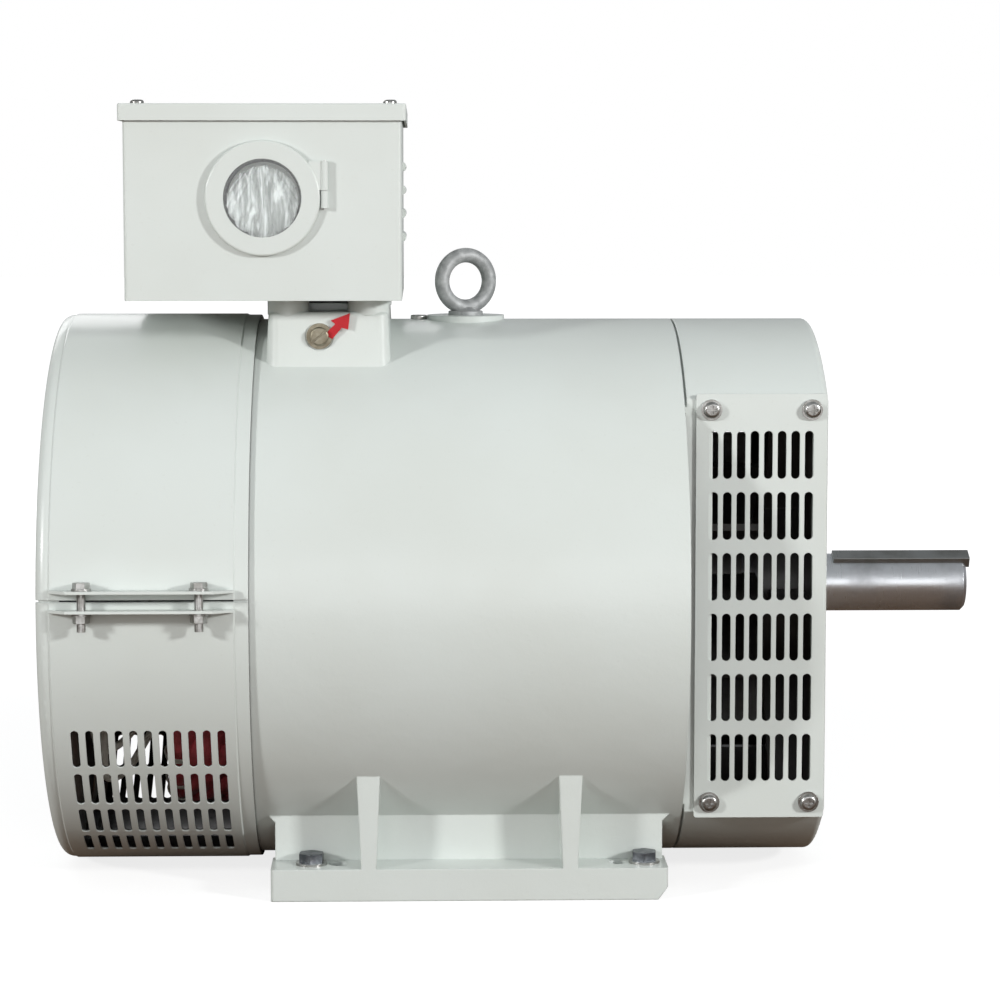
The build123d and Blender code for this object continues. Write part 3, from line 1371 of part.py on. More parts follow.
pieces["clamp_bolts"], pieces["clamp_washers"], pieces["clamp_nuts"] = make_clamp_fasteners()
pieces["earth_screw"], pieces["earth_washer"] = make_earth_fittings()
pieces["foot_bolts"], pieces["foot_washers"] = make_foot_fasteners()
drive_set = bearing_parts(drive_bearing, drive_bearing_x)
rear_set = bearing_parts(rear_bearing, rear_bearing_x)
pieces["bearing_outer_rings"] = group([drive_set[0], rear_set[0]])
pieces["bearing_inner_rings"] = group([drive_set[1], rear_set[1]])
pieces["drive_bearing_cage"] = group([drive_set[2], drive_set[3]])
pieces["rear_bearing_cage"] = group([rear_set[2], rear_set[3]])

print(len(pieces), "nodes")
for name, shape in pieces.items():
    export_step(shape, f"parts/{name}.step")
    print(f"{name}: {len(shape.solids())} solid(s)")
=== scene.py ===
# %% [markdown]
# # A generator's alternator head, dressed for its portrait
# The shapes and sizes of the real machine come from a packed CAD model, which stays fixed.
# This script gives every surface its finish, adds the coil ends, the meter's scale and a few
# small trims that are better made as meshes, and sets up a plain studio. It is meant to be read
# from top to bottom.

# %% Load the frame
import bpy
import bmesh
import math
from mathutils import Matrix, Vector, noise


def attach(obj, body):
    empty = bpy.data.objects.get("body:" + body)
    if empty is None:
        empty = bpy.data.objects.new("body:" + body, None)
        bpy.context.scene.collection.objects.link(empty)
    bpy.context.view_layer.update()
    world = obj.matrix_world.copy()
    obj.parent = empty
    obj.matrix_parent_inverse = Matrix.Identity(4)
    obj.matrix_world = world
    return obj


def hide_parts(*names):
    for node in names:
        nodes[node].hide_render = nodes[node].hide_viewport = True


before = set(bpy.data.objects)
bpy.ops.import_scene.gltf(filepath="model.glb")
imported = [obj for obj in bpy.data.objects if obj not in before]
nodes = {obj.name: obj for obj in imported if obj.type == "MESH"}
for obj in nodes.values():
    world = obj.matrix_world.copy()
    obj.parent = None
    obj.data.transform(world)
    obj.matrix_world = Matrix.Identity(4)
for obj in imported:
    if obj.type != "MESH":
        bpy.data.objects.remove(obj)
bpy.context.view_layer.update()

# %% [markdown]
# ## Sums written as sums
# Shader nodes are wired by hand in Blender's editor. In a script that gets long, so one small
# class wraps an output socket, and Python's operators add the Math nodes. Colours and vectors
# keep their three channels only in Mix and Vector Math nodes, so those have their own methods.

# %% A socket that can be added, multiplied and compared
class Field:
    """A value that varies over a surface, held as the output socket that carries it."""

    def __init__(self, finish, socket):
        self.finish = finish
        self.socket = socket

    def _math(self, operation, *values):
        sockets = {index: value for index, value in enumerate(values)}
        return self.finish.node("ShaderNodeMath", {"operation": operation}, sockets)

    def __add__(self, other):
        return self._math("ADD", self, other)

    def __radd__(self, other):
        return self._math("ADD", other, self)

    def __sub__(self, other):
        return self._math("SUBTRACT", self, other)

    def __rsub__(self, other):
        return self._math("SUBTRACT", other, self)

    def __mul__(self, other):
        return self._math("MULTIPLY", self, other)

    def __rmul__(self, other):
        return self._math("MULTIPLY", other, self)

    def __pow__(self, other):
        return self._math("POWER", self, other)

    def absolute(self):
        return self._math("ABSOLUTE", self)

    def most(self, other):
        return self._math("MAXIMUM", self, other)

    def ramp(self, low, high, start=0.0, end=1.0):
        """start below low, end above high, and a smooth change between."""
        return self.finish.node(
            "ShaderNodeMapRange", {"interpolation_type": "SMOOTHSTEP"},
            {"Value": self, "From Min": low, "From Max": high, "To Min": start, "To Max": end})


print("a Field understands", ", ".join(name for name in vars(Field) if not name.startswith("_")))

# %% [markdown]
# ## A finish is a material with a few shortcuts
# Every finish below is one Principled shader. Numbers that are the same all over are set on its
# sockets, and only colour, roughness, metal and the bump change over the surface. Positions are
# read in metres from the object's own coordinates, so a grain keeps its real size on any piece.

# %% The material builder
class Finish:
    """A Principled material and the one method that adds any other node to it."""

    def __init__(self, name, **constants):
        self.material = bpy.data.materials.new(name)
        self.material.use_nodes = True
        self.tree = self.material.node_tree
        self.shader = self.tree.nodes["Principled BSDF"]
        for socket, value in constants.items():
            self.put(self.shader.inputs[socket.replace("_", " ")], value)

    def put(self, socket, value):
        if isinstance(value, Field):
            self.tree.links.new(value.socket, socket)
        elif socket.type == "RGBA" and len(value) == 3:
            socket.default_value = (*value, 1.0)
        else:
            socket.default_value = value

    def node(self, kind, settings=None, sockets=None, output=0):
        """Adds a node: its settings first, then the values or links of its sockets."""
        made = self.tree.nodes.new(kind)
        for key, value in (settings or {}).items():
            setattr(made, key, value)
        for key, value in (sockets or {}).items():
            found = made.inputs[key] if isinstance(key, int) else next(
                s for s in made.inputs if key in (s.identifier, s.name) and s.enabled)
            self.put(found, value)
        return Field(self, made.outputs[output])

    def set(self, socket, value):
        self.put(self.shader.inputs[socket], value)
        return self

    def place(self):
        return self.node("ShaderNodeTexCoord", output="Object")

    def stretched(self, scale):
        return self.node("ShaderNodeVectorMath", {"operation": "MULTIPLY"},
                         {0: self.place(), 1: scale})

    def noise(self, scale, detail=3.0, rough=0.55, where=None, distortion=0.0):
        return self.node("ShaderNodeTexNoise", None, {
            "Vector": where or self.place(), "Scale": scale, "Detail": detail,
            "Roughness": rough, "Distortion": distortion})

    def blend(self, factor, first, second):
        return self.node("ShaderNodeMix", {"data_type": "RGBA"}, {
            "Factor_Float": factor, "A_Color": first, "B_Color": second}, output=2)

    def bump(self, height, distance, edge=None):
        sockets = {"Height": height, "Distance": distance, "Strength": 1.0}
        if edge:
            sockets["Normal"] = edge
        return self.set("Normal", self.node("ShaderNodeBump", None, sockets))

    def soft_edge(self, radius):
        return self.node("ShaderNodeBevel", {"samples": 4}, {"Radius": radius})


def dress(finish, *names):
    """Gives CAD nodes a finish through their material slots."""
    for name in names:
        for slot in nodes[name].material_slots:
            slot.material = finish.material
    print(finish.material.name, "on", len(names), "nodes")


MM = 0.001
print("finishes work in metres; MM is", MM)

# %% [markdown]
# ## The paint
# The whole casing wears one pale grey-green enamel, sprayed over rough castings and over smooth
# sheet. The castings still show a soft pebbled skin through it, the sheet only the fine dimples
# of the spray. A bevel node rounds the look of the edges, where real paint never stays sharp.
# A little dust dulls it in patches, so the tone drifts slowly over the surface. Inside the
# hollow shell, behind the slots, the colour turns near black, which is painted shade.

# %% Enamel over a casting and over sheet
PAINT = (0.610, 0.650, 0.625)
PAINT_DUSTY = (0.560, 0.590, 0.555)
# The next colour is painted shade: near black for the insides that lie behind the slots.
HOLLOW_SHADE = (0.030, 0.027, 0.025)
SHAFT_HEIGHT = 200 * MM
BARREL = (-154.5 * MM, 142.5 * MM)     # its rear and front ends
SHELL = (-286.0 * MM, 232.9 * MM)      # the inner faces of the rear shield and of the bell
SHIELD_BORE = 195.6 * MM
BAND_BORE = 196.9 * MM
BARREL_BORE = 187.4 * MM
CHEEK = 120.4 * MM                     # from the shaft to the bell's flat side walls


def painted_hollow_shade(paint, bore, rear, front):
    """1 inside a round hollow along the shaft, where the colour is darkened as painted shade."""
    x, y, z = (paint.node("ShaderNodeSeparateXYZ", None, {"Vector": paint.place()}, output=axis)
               for axis in range(3))
    rise = z - SHAFT_HEIGHT
    radius = (y * y + rise * rise) ** 0.5
    hollow = radius.ramp(bore - 0.2 * MM, bore, 1.0, 0.0)
    between = x.ramp(rear, rear + 0.1 * MM) * x.ramp(front, front + 0.1 * MM, 1.0, 0.0)
    before_bell = x.ramp(BARREL[1] + 1 * MM, BARREL[1] + 1.1 * MM, 1.0, 0.0)
    cheeks = y.absolute().ramp(CHEEK - 0.1 * MM, CHEEK + 0.1 * MM, 1.0, 0.0)
    return hollow * between * before_bell.most(cheeks)


def enamel(name, grain_height, edge, cast=False):
    paint = Finish(name, Coat_Weight=0.25, Coat_Roughness=0.18, Specular_IOR_Level=0.45)
    drift = paint.noise(7.0, 3.0).ramp(0.35, 0.75)
    specks = paint.noise(420.0, 2.0).ramp(0.66, 0.76, 0.0, 0.35)
    tone = paint.blend(drift * 0.5, PAINT, PAINT_DUSTY)
    tone = paint.blend(specks * 0.3, tone, (0.42, 0.42, 0.37))
    # The hollows behind the slots get painted shade in place of the enamel's tone.
    inside = painted_hollow_shade(paint, SHIELD_BORE if cast else BAND_BORE, SHELL[0], BARREL[0])
    if cast:
        inside = inside.most(painted_hollow_shade(paint, BARREL_BORE, *SHELL))
    paint.set("Base Color", paint.blend(inside, tone, HOLLOW_SHADE))
    paint.set("Roughness", 0.30 + 0.14 * paint.noise(28.0, 4.0))
    pebbles = paint.noise(95.0, 3.0, 0.6)
    spray = paint.noise(900.0, 1.5)
    waves = paint.noise(16.0, 2.0)
    height = pebbles * grain_height + spray * 0.00003 + waves * 0.0006
    return paint.bump(height, 1.0, paint.soft_edge(edge))


cast_enamel = enamel("cast enamel", 0.00018, 1.6 * MM, cast=True)
sheet_enamel = enamel("sheet enamel", 0.00003, 0.5 * MM)
dress(cast_enamel, "frame_casting", "drive_end_bell", "rear_end_shield",
      "drive_bearing_cap", "rear_bearing_cap")
dress(sheet_enamel, "rear_band", "terminal_box", "box_lid", "side_grille_front",
      "side_grille_back", "window_ring", "window_hinge_bracket")

# %% [markdown]
# ## Bare metals
# The screws are zinc plated, a soft grey with faint yellow patches where the passivation is
# thicker. The eye bolt is a raw casting. The shaft was turned in a lathe, so it has fine rings
# all round, and hands and packing have left duller patches on it.

# %% Steel in its several states
def plated(name, light, dark, rough, metal=1.0):
    zinc = Finish(name, Metallic=metal)
    patches = zinc.noise(160.0, 3.0).ramp(0.35, 0.7)
    zinc.set("Base Color", zinc.blend(patches, dark, light))
    zinc.set("Roughness", rough + 0.18 * zinc.noise(300.0, 3.0))
    return zinc.bump(zinc.noise(700.0, 3.0), 0.00006, zinc.soft_edge(0.35 * MM))


zinc_plate = plated("zinc plate", (0.50, 0.50, 0.49), (0.30, 0.295, 0.28), 0.22)
black_steel = plated("blackened steel", (0.20, 0.21, 0.23), (0.09, 0.10, 0.11), 0.30)
raw_casting = plated("raw cast steel", (0.42, 0.43, 0.43), (0.28, 0.29, 0.29), 0.50, 0.4)
dress(zinc_plate, "bell_screws", "rear_shield_screws", "lid_screws", "box_screws",
      "window_hinge_pin", "brush_bracket", "brush_bracket_screws", "bearing_cap_screws",
      "grille_screws", "grille_washers", "clamp_bolts", "clamp_washers", "clamp_nuts",
      "core_lock_screw", "foot_washers", "brush_spring_1", "brush_spring_2")
tinned_brass = plated("tinned brass", (0.40, 0.37, 0.29), (0.26, 0.23, 0.17), 0.36)
dress(tinned_brass, "earth_screw", "earth_washer")
dress(black_steel, "foot_bolts")
dress(raw_casting, "eye_bolt")


def turned_steel(name, colour, stain, rings):
    steel = Finish(name, Metallic=0.95)
    along = steel.stretched((1.0, 0.02, 0.02))
    marks = steel.noise(rings, 2.0, 0.6, along)
    smudges = steel.noise(24.0, 4.0).ramp(0.45, 0.72)
    steel.set("Base Color", steel.blend(smudges * 0.8, colour, stain))
    steel.set("Roughness", 0.24 + 0.14 * smudges + 0.10 * marks)
    return steel.bump(marks, 0.00008, steel.soft_edge(0.5 * MM))


shaft_steel = turned_steel("turned steel", (0.66, 0.68, 0.71), (0.34, 0.35, 0.37), 2200.0)
key_steel = turned_steel("drawn steel", (0.30, 0.31, 0.31), (0.17, 0.17, 0.16), 1500.0)
ball_steel = turned_steel("bearing steel", (0.70, 0.70, 0.71), (0.56, 0.56, 0.56), 1800.0)
dress(shaft_steel, "shaft")
dress(key_steel, "shaft_key")
dress(ball_steel, "bearing_outer_rings", "bearing_inner_rings",
      "drive_bearing_cage", "rear_bearing_cage")

# %% [markdown]
# ## Inside the machine
# Behind the slots sit the dark laminations, the varnished red windings, white glass-fibre
# sleeves on the leads, and the brass slip rings under their carbon brushes. One flat colour
# would do for parts in the dark, but the slots let light in, so each gets a slow change of tone
# and a little bump. The fan is coloured far darker than its metal, which is painted shade.

# %% Laminations, varnish, sleeves, brass, carbon and the fan
laminations = Finish("varnished laminations", Metallic=0.4, Roughness=0.5)
sheets = laminations.noise(1600.0, 1.0, 0.5, laminations.stretched((1.0, 0.01, 0.01)))
laminations.set("Base Color", laminations.blend(
    sheets, (0.045, 0.028, 0.022), (0.14, 0.085, 0.065)))
laminations.bump(sheets, 0.0002)
dress(laminations, "stator_core", "rotor_core")

varnish = Finish("red varnish", Coat_Weight=0.4, Coat_Roughness=0.12, Roughness=0.4)
pools = varnish.noise(60.0, 4.0).ramp(0.35, 0.7)
varnish.set("Base Color", varnish.blend(pools, (0.86, 0.14, 0.18), (0.52, 0.07, 0.09)))
varnish.bump(varnish.noise(240.0, 4.0), 0.0008)
dress(varnish, "stator_winding_rear", "stator_winding_drive", "field_coils")

sleeve = Finish("glass-fibre sleeve", Roughness=0.6)
weave = sleeve.node("ShaderNodeTexWave", {"bands_direction": "DIAGONAL"},
                    {"Vector": sleeve.place(), "Scale": 420.0, "Distortion": 0.6})
yellowing = sleeve.noise(35.0, 3.0).ramp(0.4, 0.7)
sleeve.set("Base Color", sleeve.blend(yellowing, (0.74, 0.73, 0.66), (0.56, 0.53, 0.44)))
sleeve.bump(weave, 0.0003)
dress(sleeve, "winding_leads")

brass = Finish("turned brass", Metallic=1.0, Roughness=0.28)
brass.set("Base Color", brass.blend(
    brass.noise(90.0, 3.0), (0.66, 0.46, 0.18), (0.44, 0.27, 0.10)))
brass.bump(brass.noise(1800.0, 2.0, 0.5, brass.stretched((1.0, 0.02, 0.02))), 0.00006)
dress(brass, "slip_rings", "terminal_studs")

carbon = Finish("pressed carbon", Roughness=0.5)
carbon.set("Base Color", carbon.blend(
    carbon.noise(500.0, 2.0), (0.018, 0.018, 0.018), (0.05, 0.05, 0.05)))
dress(carbon, "brush_1", "brush_2")

# The fan's near-black colour is painted shade inside the bell, not the tone of its metal.
painted_shade_aluminium = Finish("die-cast aluminium", Metallic=0.9, Roughness=0.45)
painted_shade_aluminium.set("Base Color", painted_shade_aluminium.blend(
    painted_shade_aluminium.noise(60.0, 4.0), (0.16, 0.155, 0.15), (0.07, 0.065, 0.06)))
painted_shade_aluminium.bump(painted_shade_aluminium.noise(260.0, 3.0), 0.0004)
dress(painted_shade_aluminium, "cooling_fan")

# %% [markdown]
# ## Moulded parts and glass
# The gasket and grommet are black rubber, the boards brown phenolic, and the meter's case is
# black. The pane is clear, so it gets full transmission and a very faint green.

# %% Rubber, mouldings and the pane
def moulded(name, light, dark, rough, coat=0.0):
    moulding = Finish(name, Roughness=rough, Coat_Weight=coat)
    moulding.set("Base Color", moulding.blend(moulding.noise(120.0, 3.0), dark, light))
    return moulding.bump(moulding.noise(900.0, 2.0), 0.0001)


rubber = moulded("black rubber", (0.035, 0.035, 0.035), (0.02, 0.02, 0.02), 0.7)
phenolic = moulded("brown phenolic", (0.20, 0.10, 0.05), (0.13, 0.06, 0.03), 0.4, 0.2)
black_case = moulded("black moulding", (0.03, 0.03, 0.03), (0.018, 0.018, 0.018), 0.45, 0.1)
card = moulded("white card", (0.80, 0.80, 0.77), (0.74, 0.74, 0.70), 0.6)
dress(rubber, "lid_gasket", "cable_grommet")
dress(phenolic, "terminal_board", "brush_holder", "brush_holder_cap")
dress(black_case, "voltmeter_case", "voltmeter_needle", "slip_ring_hub")
dress(card, "voltmeter_dial")

pane = Finish("clear pane", Transmission_Weight=1.0, IOR=1.45, Base_Color=(0.95, 0.98, 0.97))
pane.set("Roughness", 0.02 + 0.05 * pane.noise(40.0, 3.0).ramp(0.5, 0.8))
dress(pane, "window_glass")

# %% [markdown]
# ## Tubes from a path
# Coil ends, lacing and the meter's bezel are swept: a ring of points is carried along a path, and
# each ring is joined to the next. A curve object with a bevel could do it too, but it twists on a
# path like these. Here the ring keeps one direction close to a chosen one, so it never does. A
# lobed ring looks like a bundle of wires.

# %% Sweeping a ring along a path
def sweep(mesh, path, upward, half_width, half_height, sides=12, lobes=0, closed=False):
    """Adds a tube round path; upward(point) gives the direction that its height follows."""
    count = len(path)
    rings = []
    for index, point in enumerate(path):
        after = path[(index + 1) % count] if closed else path[min(index + 1, count - 1)]
        before = path[index - 1] if closed else path[max(index - 1, 0)]
        along = (after - before).normalized()
        side = along.cross(upward(point)).normalized()
        rise = side.cross(along)
        ring = []
        for step in range(sides):
            turn = 2 * math.pi * step / sides
            swell = 1 + 0.10 * math.cos(lobes * turn) if lobes else 1.0
            offset = side * math.cos(turn) * half_width + rise * math.sin(turn) * half_height
            ring.append(mesh.verts.new(point + offset * swell))
        rings.append(ring)
    pairs = zip(rings, rings[1:] + rings[:1]) if closed else zip(rings, rings[1:])
    for first, second in pairs:
        for step in range(sides):
            after = (step + 1) % sides
            mesh.faces.new((first[step], first[after], second[after], second[step]))
    if not closed:
        mesh.faces.new(rings[0])
        mesh.faces.new(reversed(rings[-1]))


# %% [markdown]
# ## From a mesh to a piece of the machine
# Every new piece needs the same steps: normals that face outward, a finish, the body that it
# moves with, and the material slot that it belongs to. One helper does all of them.

# %% A finished piece on its body
def piece(name, mesh, finish, body, smooth=True):
    """Turns the mesh into an object with its finish, on its body."""
    bmesh.ops.recalc_face_normals(mesh, faces=mesh.faces)
    for face in mesh.faces:
        face.smooth = smooth
    data = bpy.data.meshes.new(name)
    mesh.to_mesh(data)
    mesh.free()
    data.materials.append(finish.material)
    made = bpy.data.objects.new(name, data)
    bpy.context.collection.objects.link(made)
    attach(made, body)
    print(name, "has", len(data.polygons), "faces")
    return made


# %% [markdown]
# ## Coil ends
# Every coil leaves one slot of the core, arches over and goes back into another slot a sixth of
# a turn further on. Each arch starts on the inside of the ring and ends on the outside, so the
# coils lie over each other like the strands of a basket. White cord ties each arch at its top.
# A plain ring would be easier, and it would look like a pipe through the slots.

# %% The path of one coil
COILS = 24
SPAN = math.tau / 6              # a coil goes back into the core this far round
ARCH_FOOT, ARCH_SHIFT, ARCH_RISE = 122, 26, 13     # its radii round the shaft, in millimetres


def outward(point):
    return Vector((0.0, point.y, point.z - SHAFT_HEIGHT)).normalized()


def coil_path(start, face, reach, steps=12):
    """The middle line of one arch, from slot to slot."""
    path = []
    for step in range(steps + 1):
        share = step / steps
        angle = start + share * SPAN
        rise = math.sin(math.pi * share) ** 0.5
        radius = (ARCH_FOOT + ARCH_SHIFT * share + ARCH_RISE * math.sin(math.pi * share)) * MM
        path.append(Vector((face + reach * (rise - 0.05) * (1 + 0.04 * math.sin(3 * start)),
                            radius * math.sin(angle), SHAFT_HEIGHT + radius * math.cos(angle))))
    return path


print("a coil spans", round(math.degrees(SPAN)), "degrees, and there are", COILS, "at each end")

# %% [markdown]
# ## Lacing, then both baskets
# The cord is three closed loops round the top of each outer arch. Two shorter layers of arches
# lie below the outer one, so no gap shows between the coils.

# %% Two baskets of coils and their lacing
def lace(cords, path):
    """Ties three loops of cord round the top of an arch."""
    top = len(path) // 2
    along = (path[top + 1] - path[top - 1]).normalized()
    rise = outward(path[top])
    side = along.cross(rise).normalized()
    for shift in (-2.2, 0.0, 2.2):
        loop = [path[top] + along * shift * MM + side * math.cos(turn) * 10.8 * MM
                + rise * math.sin(turn) * 8.6 * MM
                for turn in (math.tau * step / 20 for step in range(20))]
        sweep(cords, loop, lambda point: along, 0.9 * MM, 0.7 * MM, sides=6, closed=True)


def coil_ends(end, face, reach):
    """Three layers of arches, each shorter than the one over it, with cord on the outer layer."""
    coils = bmesh.new()
    cords = bmesh.new()
    for coil in range(COILS):
        for layer in (0.70, 0.38):
            inner = coil_path(math.tau * (coil + layer) / COILS, face, reach * layer)
            sweep(coils, inner, outward, 10.0 * MM, 7.5 * MM, sides=14, lobes=7)
        path = coil_path(math.tau * coil / COILS, face, reach)
        sweep(coils, path, outward, 9.5 * MM, 7.5 * MM, sides=14, lobes=7)
        lace(cords, path)
    wound = piece("coil_ends_" + end, coils, varnish, "frame")
    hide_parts("stator_winding_" + end)
    piece("coil_lacing_" + end, cords, sleeve, "frame")


coil_ends("rear", -147 * MM, -66 * MM)
coil_ends("drive", 59 * MM, 58 * MM)

# %% [markdown]
# ## The meter's scale
# Ticks and plain numbers stand on the card, spread over the quarter turn that the needle swings.
# An image of a scale would be quicker, but a mesh stays sharp at any distance. First the places
# on the card are found from the real dial.

# %% Places on the dial
def node_span(name, axis):
    corners = [nodes[name].matrix_world @ Vector(corner) for corner in nodes[name].bound_box]
    return min(corner[axis] for corner in corners), max(corner[axis] for corner in corners)


DIAL_FACE = node_span("voltmeter_dial", 1)[0]
DIAL_X = sum(node_span("voltmeter_dial", 0)) / 2
DIAL_Z = sum(node_span("voltmeter_dial", 2)) / 2
PIVOT = Vector((DIAL_X, DIAL_FACE - 0.05 * MM, DIAL_Z - 15.12 * MM))
SWING_START, SWING = 135, 90           # degrees, from the left end of the scale
SCALE_RADIUS = 27.5 * MM


def on_dial(radius, degrees):
    turn = math.radians(degrees)
    return PIVOT + Vector((radius * math.cos(turn), 0.0, radius * math.sin(turn)))


print("the dial's middle is at", round(DIAL_X, 4), round(DIAL_FACE, 4), round(DIAL_Z, 4))

# %% [markdown]
# ## Printing the scale
# Each tick is a thin flat strip, long at every hundred volts, and the arc is thirty short ones.
# The numbers are made with Blender's text object, turned into a mesh and joined to the rest.

# %% Ticks and numbers
def bar(mesh, start, end, half_width):
    """A thin printed line between two points on the card."""
    across = (end - start).cross(Vector((0.0, 1.0, 0.0))).normalized() * half_width
    corners = (start - across, start + across, end + across, end - across)
    mesh.faces.new([mesh.verts.new(corner) for corner in corners])


ink = bmesh.new()
for tick in range(26):
    degrees = SWING_START - SWING * tick / 25
    major = tick % 5 == 0
    bar(ink, on_dial(SCALE_RADIUS, degrees), on_dial((31.5 if major else 29.5) * MM, degrees),
        (0.45 if major else 0.22) * MM)
for step in range(30):
    degrees = SWING_START - 3 * step
    bar(ink, on_dial(SCALE_RADIUS, degrees), on_dial(SCALE_RADIUS, degrees - 3), 0.25 * MM)
for mark in range(6):
    letters = bpy.data.curves.new("number", "FONT")
    letters.body = str(mark * 100)
    letters.size = 5.0 * MM
    letters.align_x = "CENTER"
    letters.align_y = "CENTER"
    holder = bpy.data.objects.new("number", letters)
    spot = on_dial(22.5 * MM, SWING_START - 18 * mark)
    flat = bpy.data.meshes.new_from_object(holder)
    flat.transform(Matrix.Translation(spot) @ Matrix.Rotation(math.radians(90), 4, "X"))
    ink.from_mesh(flat)
    bpy.data.objects.remove(holder)
    bpy.data.curves.remove(letters)
    bpy.data.meshes.remove(flat)
piece("dial_scale", ink, black_case, "frame", smooth=False)

# %% [markdown]
# ## The meter's bezel
# A black moulded ring frames the meter behind the round window. It is one closed sweep, wide
# across the card and thin from front to back. Its black over the card's outer edge is partly
# painted shade, standing in for the shade under the window's rim.

# %% The meter's black bezel
BEZEL_RADIUS = 29.0 * MM
# This black ring is partly painted shade, standing in for the shade under the window's rim.
bezel = bmesh.new()
bezel_path = [Vector((DIAL_X + BEZEL_RADIUS * math.cos(turn), DIAL_FACE - 5.0 * MM,
                      DIAL_Z + BEZEL_RADIUS * math.sin(turn)))
              for turn in (math.tau * step / 96 for step in range(96))]
sweep(bezel, bezel_path, lambda point: Vector((0.0, -1.0, 0.0)), 4.4 * MM, 1.2 * MM, closed=True)
piece("meter_bezel_and_rim_shade", bezel, black_case, "frame")

# %% [markdown]
# ## The crumpled film
# The meter still wears its protective film, one thin sheet with sharp creases that fan out from
# its upper edge. It is clearer in places and milky in streaks, so its Alpha changes over the
# sheet. The near-white streaks are partly milky film and partly painted reflection. Full
# transmission, as in the pane, would make it all equally clear.

# %% The film's finish
film = Finish("crumpled film", Roughness=0.12, Coat_Weight=0.5, Coat_Roughness=0.05)
streaks = film.noise(1.0, 3.0, 0.6, film.stretched((230.0, 60.0, 45.0)), 0.8).ramp(0.36, 0.66)
# The whiter streaks are partly milky film and partly a painted reflection of the creases.
film.set("Base Color", film.blend(streaks, (0.50, 0.51, 0.50), (0.93, 0.93, 0.93)))
LEAST_ALPHA = 0.62
film.set("Alpha", LEAST_ALPHA + 0.36 * streaks)
print("the film lets", round(1 - LEAST_ALPHA, 2), "of the light through where it is clearest")

# %% [markdown]
# ## Creasing the sheet
# The sheet is a fine grid of points. Those outside its rough round edge are left out, and the
# rest stand out by the depth of the creases. Two noises give that depth: one that changes with
# the angle makes the fan, and a finer one makes the small wrinkles.

# %% Film over the meter
FILM_HALF = 27.5                 # half the grid's width and height, in millimetres
FILM_LINES = 72
FILM_PLANE = -124.4 * MM
FILM_EDGE = 24.6


def film_depth(x, z):
    """How far the film stands out at a place given in millimetres from the meter's middle."""
    fan = math.atan2(x, 34 - z)
    folds = noise.noise(Vector((fan * 9.0, z * 0.035, 1.7)))
    fine = noise.noise(Vector((x * 0.30, z * 0.12, 5.2)))
    return 2.6 * abs(folds) ** 0.7 + 1.1 * abs(fine)


sheet = bmesh.new()
grid = {}
for row in range(FILM_LINES + 1):
    for column in range(FILM_LINES + 1):
        x = FILM_HALF * (2 * column / FILM_LINES - 1)
        z = FILM_HALF * (2 * row / FILM_LINES - 1)
        edge = FILM_EDGE + 0.5 * math.sin(x * 0.7) + 0.3 * math.sin(z * 0.9)
        if math.hypot(x, z + 2.6) <= edge:
            depth = film_depth(x, z)
            grid[row, column] = sheet.verts.new(
                (DIAL_X + x * MM, FILM_PLANE - depth * MM, DIAL_Z + z * MM))
for (row, column), corner in grid.items():
    places = ((row, column + 1), (row + 1, column + 1), (row + 1, column))
    others = [grid.get(place) for place in places]
    if all(others):
        sheet.faces.new((corner, *others))
bmesh.ops.delete(sheet, geom=[v for v in sheet.verts if not v.link_faces], context="VERTS")
piece("meter_film", sheet, film, "frame", smooth=False)

# %% [markdown]
# ## The earth tag
# A red plastic pointer marks the earth screw. It is a flat outline of seven corners, half a
# millimetre thick, whose tip stands a little away from the pedestal.

# %% Red pointer at the earth screw
tag_red = moulded("red plastic", (0.52, 0.004, 0.012), (0.40, 0.003, 0.009), 0.6)
outline = [(-105.5, 387.6), (-98.0, 395.0), (-101.0, 397.4), (-87.6, 402.6), (-89.0, 391.2),
           (-93.4, 392.4), (-100.0, 384.6)]
tag = bmesh.new()
levels = []
for lift in (0.0, 0.5):
    levels.append([tag.verts.new((x * MM, (-102.3 - lift - 0.09 * (x + 105)) * MM, z * MM))
                   for x, z in outline])
tag.faces.new(levels[0])
tag.faces.new(reversed(levels[1]))
for index in range(len(outline)):
    after = (index + 1) % len(outline)
    tag.faces.new((levels[0][index], levels[0][after], levels[1][after], levels[1][index]))
piece("earth_tag", tag, tag_red, "frame", smooth=False)

# %% [markdown]
# ## The studio
# The floor is pale and takes the shadow, and the backdrop is white. Both are brightened only for
# the rays that reach the camera directly or through glass, so they don't light the machine. For
# all other rays the floor is a dim brown, because a white bounce would bleach the undersides.

# %% The floor
def seen_directly(finish):
    """1 for camera rays and for those that arrive through glass."""
    path = finish.node("ShaderNodeLightPath").socket.node
    camera_ray, glass_ray = (Field(finish, path.outputs[name])
                             for name in ("Is Camera Ray", "Is Transmission Ray"))
    return camera_ray.most(glass_ray)


FLOOR_HALF = 14.0
floor_mesh = bpy.data.meshes.new("floor")
corners = [(x * FLOOR_HALF, y * FLOOR_HALF, 0) for x, y in ((-1, -1), (1, -1), (1, 1), (-1, 1))]
floor_mesh.from_pydata(corners, [], [(0, 1, 2, 3)])
floor = bpy.data.objects.new("floor", floor_mesh)
bpy.context.collection.objects.link(floor)
ground = Finish("pale floor", Roughness=0.9, Emission_Strength=1.0, Specular_IOR_Level=0.0)
direct = seen_directly(ground)
away = ground.node("ShaderNodeVectorMath", {"operation": "LENGTH"}, {0: ground.place()}, output=1)
ground.set("Base Color", ground.blend(direct, (0.14, 0.090, 0.060), (0.30, 0.30, 0.30)))
glow = ground.blend(away.ramp(0.6, 2.2), (0.80, 0.80, 0.80), (1.0, 1.0, 1.0))
ground.set("Emission Color", ground.blend(direct, (0.0, 0.0, 0.0), glow))
floor_mesh.materials.append(ground.material)
print("the floor is", 2 * FLOOR_HALF, "m wide")

# %% [markdown]
# ## The backdrop
# The world has no Principled shader, so its few nodes are joined by hand. A Mix Shader picks the
# pure white for the camera's rays and the dim room light for all others.

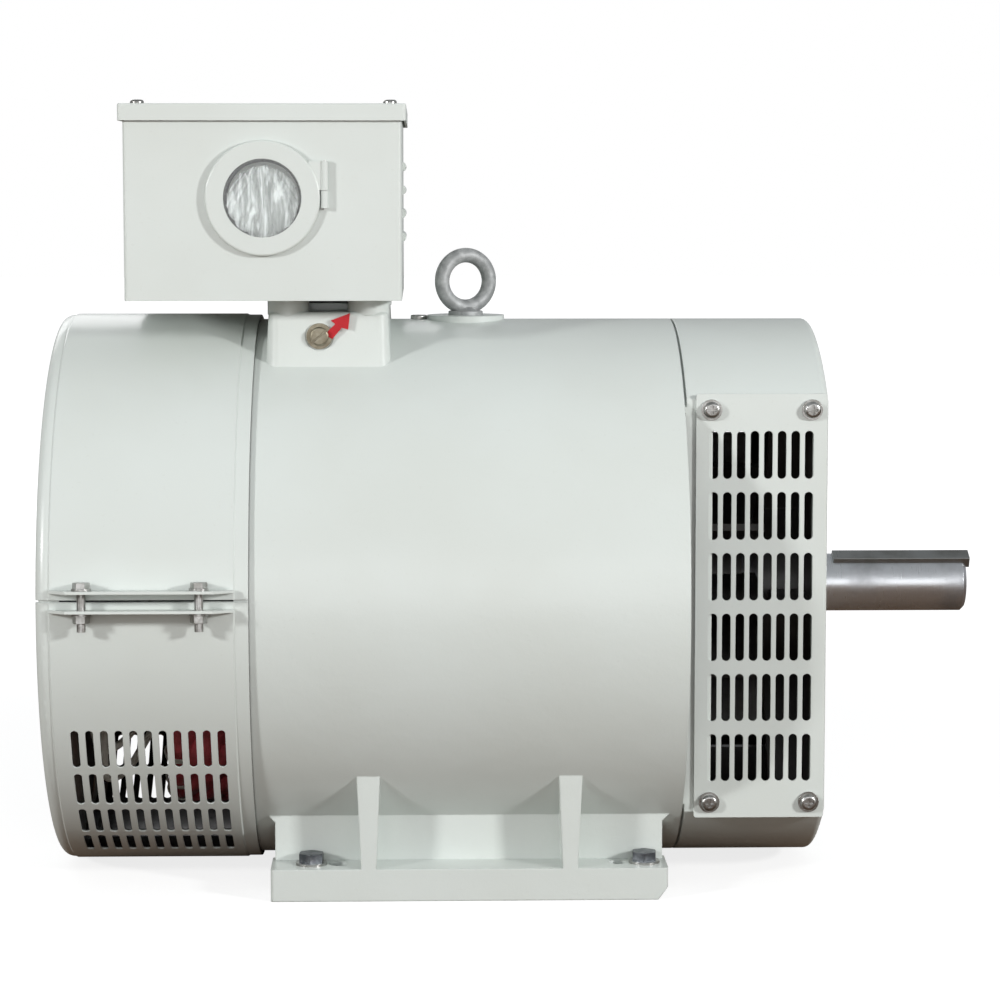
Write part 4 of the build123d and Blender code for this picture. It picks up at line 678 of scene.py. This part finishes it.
# %% White for the camera, dim for the rest
world = bpy.data.worlds.new("studio")
bpy.context.scene.world = world
world.use_nodes = True
sky = world.node_tree
light_path = sky.nodes.new("ShaderNodeLightPath")
white = sky.nodes.new("ShaderNodeBackground")
white.inputs["Strength"].default_value = 1.0
white.inputs["Color"].default_value = (1, 1, 1, 1)
room = sky.nodes.new("ShaderNodeBackground")
room.inputs["Color"].default_value = (0.95, 0.98, 1.0, 1)
room.inputs["Strength"].default_value = 0.37
chosen = sky.nodes.new("ShaderNodeMixShader")
seen = sky.nodes.new("ShaderNodeMath")
seen.operation = "MAXIMUM"
sky.links.new(light_path.outputs["Is Camera Ray"], seen.inputs[0])
sky.links.new(light_path.outputs["Is Transmission Ray"], seen.inputs[1])
sky.links.new(seen.outputs[0], chosen.inputs[0])
sky.links.new(room.outputs[0], chosen.inputs[1])
sky.links.new(white.outputs[0], chosen.inputs[2])
sky.links.new(chosen.outputs[0], sky.nodes["World Output"].inputs["Surface"])
bpy.context.scene.view_settings.view_transform = "Standard"
print("floor and backdrop are white to the camera")

# %% [markdown]
# ## Lamps
# Two small lamps stand well to the left and right of the front, a little above the machine, the
# right one stronger. Each is small for its distance, so every screw and rib has two soft-edged
# shadows. A wide, low soft box behind the camera fills the front and leaves the undersides dark,
# and a weak one at the back lifts the sides that the camera doesn't see.

# %% Four area lamps
AIM = Vector((0.0, 0.0, 0.25))
LAMP_REACH = 3.0
LAMP_SWING = math.radians(52)
LAMP_LIFT = math.radians(16)


def soft_box(name, place, size, watts):
    lamp = bpy.data.lights.new(name, "AREA")
    lamp.shape = "RECTANGLE"
    lamp.size, lamp.size_y = size
    lamp.energy = watts
    holder = bpy.data.objects.new(name, lamp)
    holder.location = place
    holder.rotation_euler = (AIM - Vector(place)).to_track_quat("-Z", "Y").to_euler()
    bpy.context.collection.objects.link(holder)
    print(name, "gives", watts, "W")


for side, name, watts in ((-1, "left lamp", 44), (1, "right lamp", 62)):
    away_from_aim = LAMP_REACH * math.cos(LAMP_LIFT)
    place = (away_from_aim * math.sin(LAMP_SWING) * side, -away_from_aim * math.cos(LAMP_SWING),
             AIM.z + LAMP_REACH * math.sin(LAMP_LIFT))
    soft_box(name, place, (0.30, 0.30), watts)
soft_box("front soft box", (0.0, -3.2, 0.62), (2.6, 1.2), 17)
soft_box("back soft box", (-0.9, 2.6, 1.6), (1.8, 1.2), 16)

# %% [markdown]
# ## The camera
# It stands a little over two metres in front of the machine, slightly left of the middle and
# above the shaft, and looks a few degrees down.

# %% Camera
lens = bpy.data.cameras.new("camera")
lens.lens = 109.1
lens.sensor_width = 36.0
camera = bpy.data.objects.new("camera", lens)
camera.location = (-0.0399, -2.2071, 0.4907)
camera.rotation_euler = (math.radians(84.07), 0.0, math.radians(-1.53))
bpy.context.collection.objects.link(camera)
bpy.context.scene.camera = camera
print("the camera stands", round((camera.location - AIM).length, 3), "m from the machine's middle")

# %% [markdown]
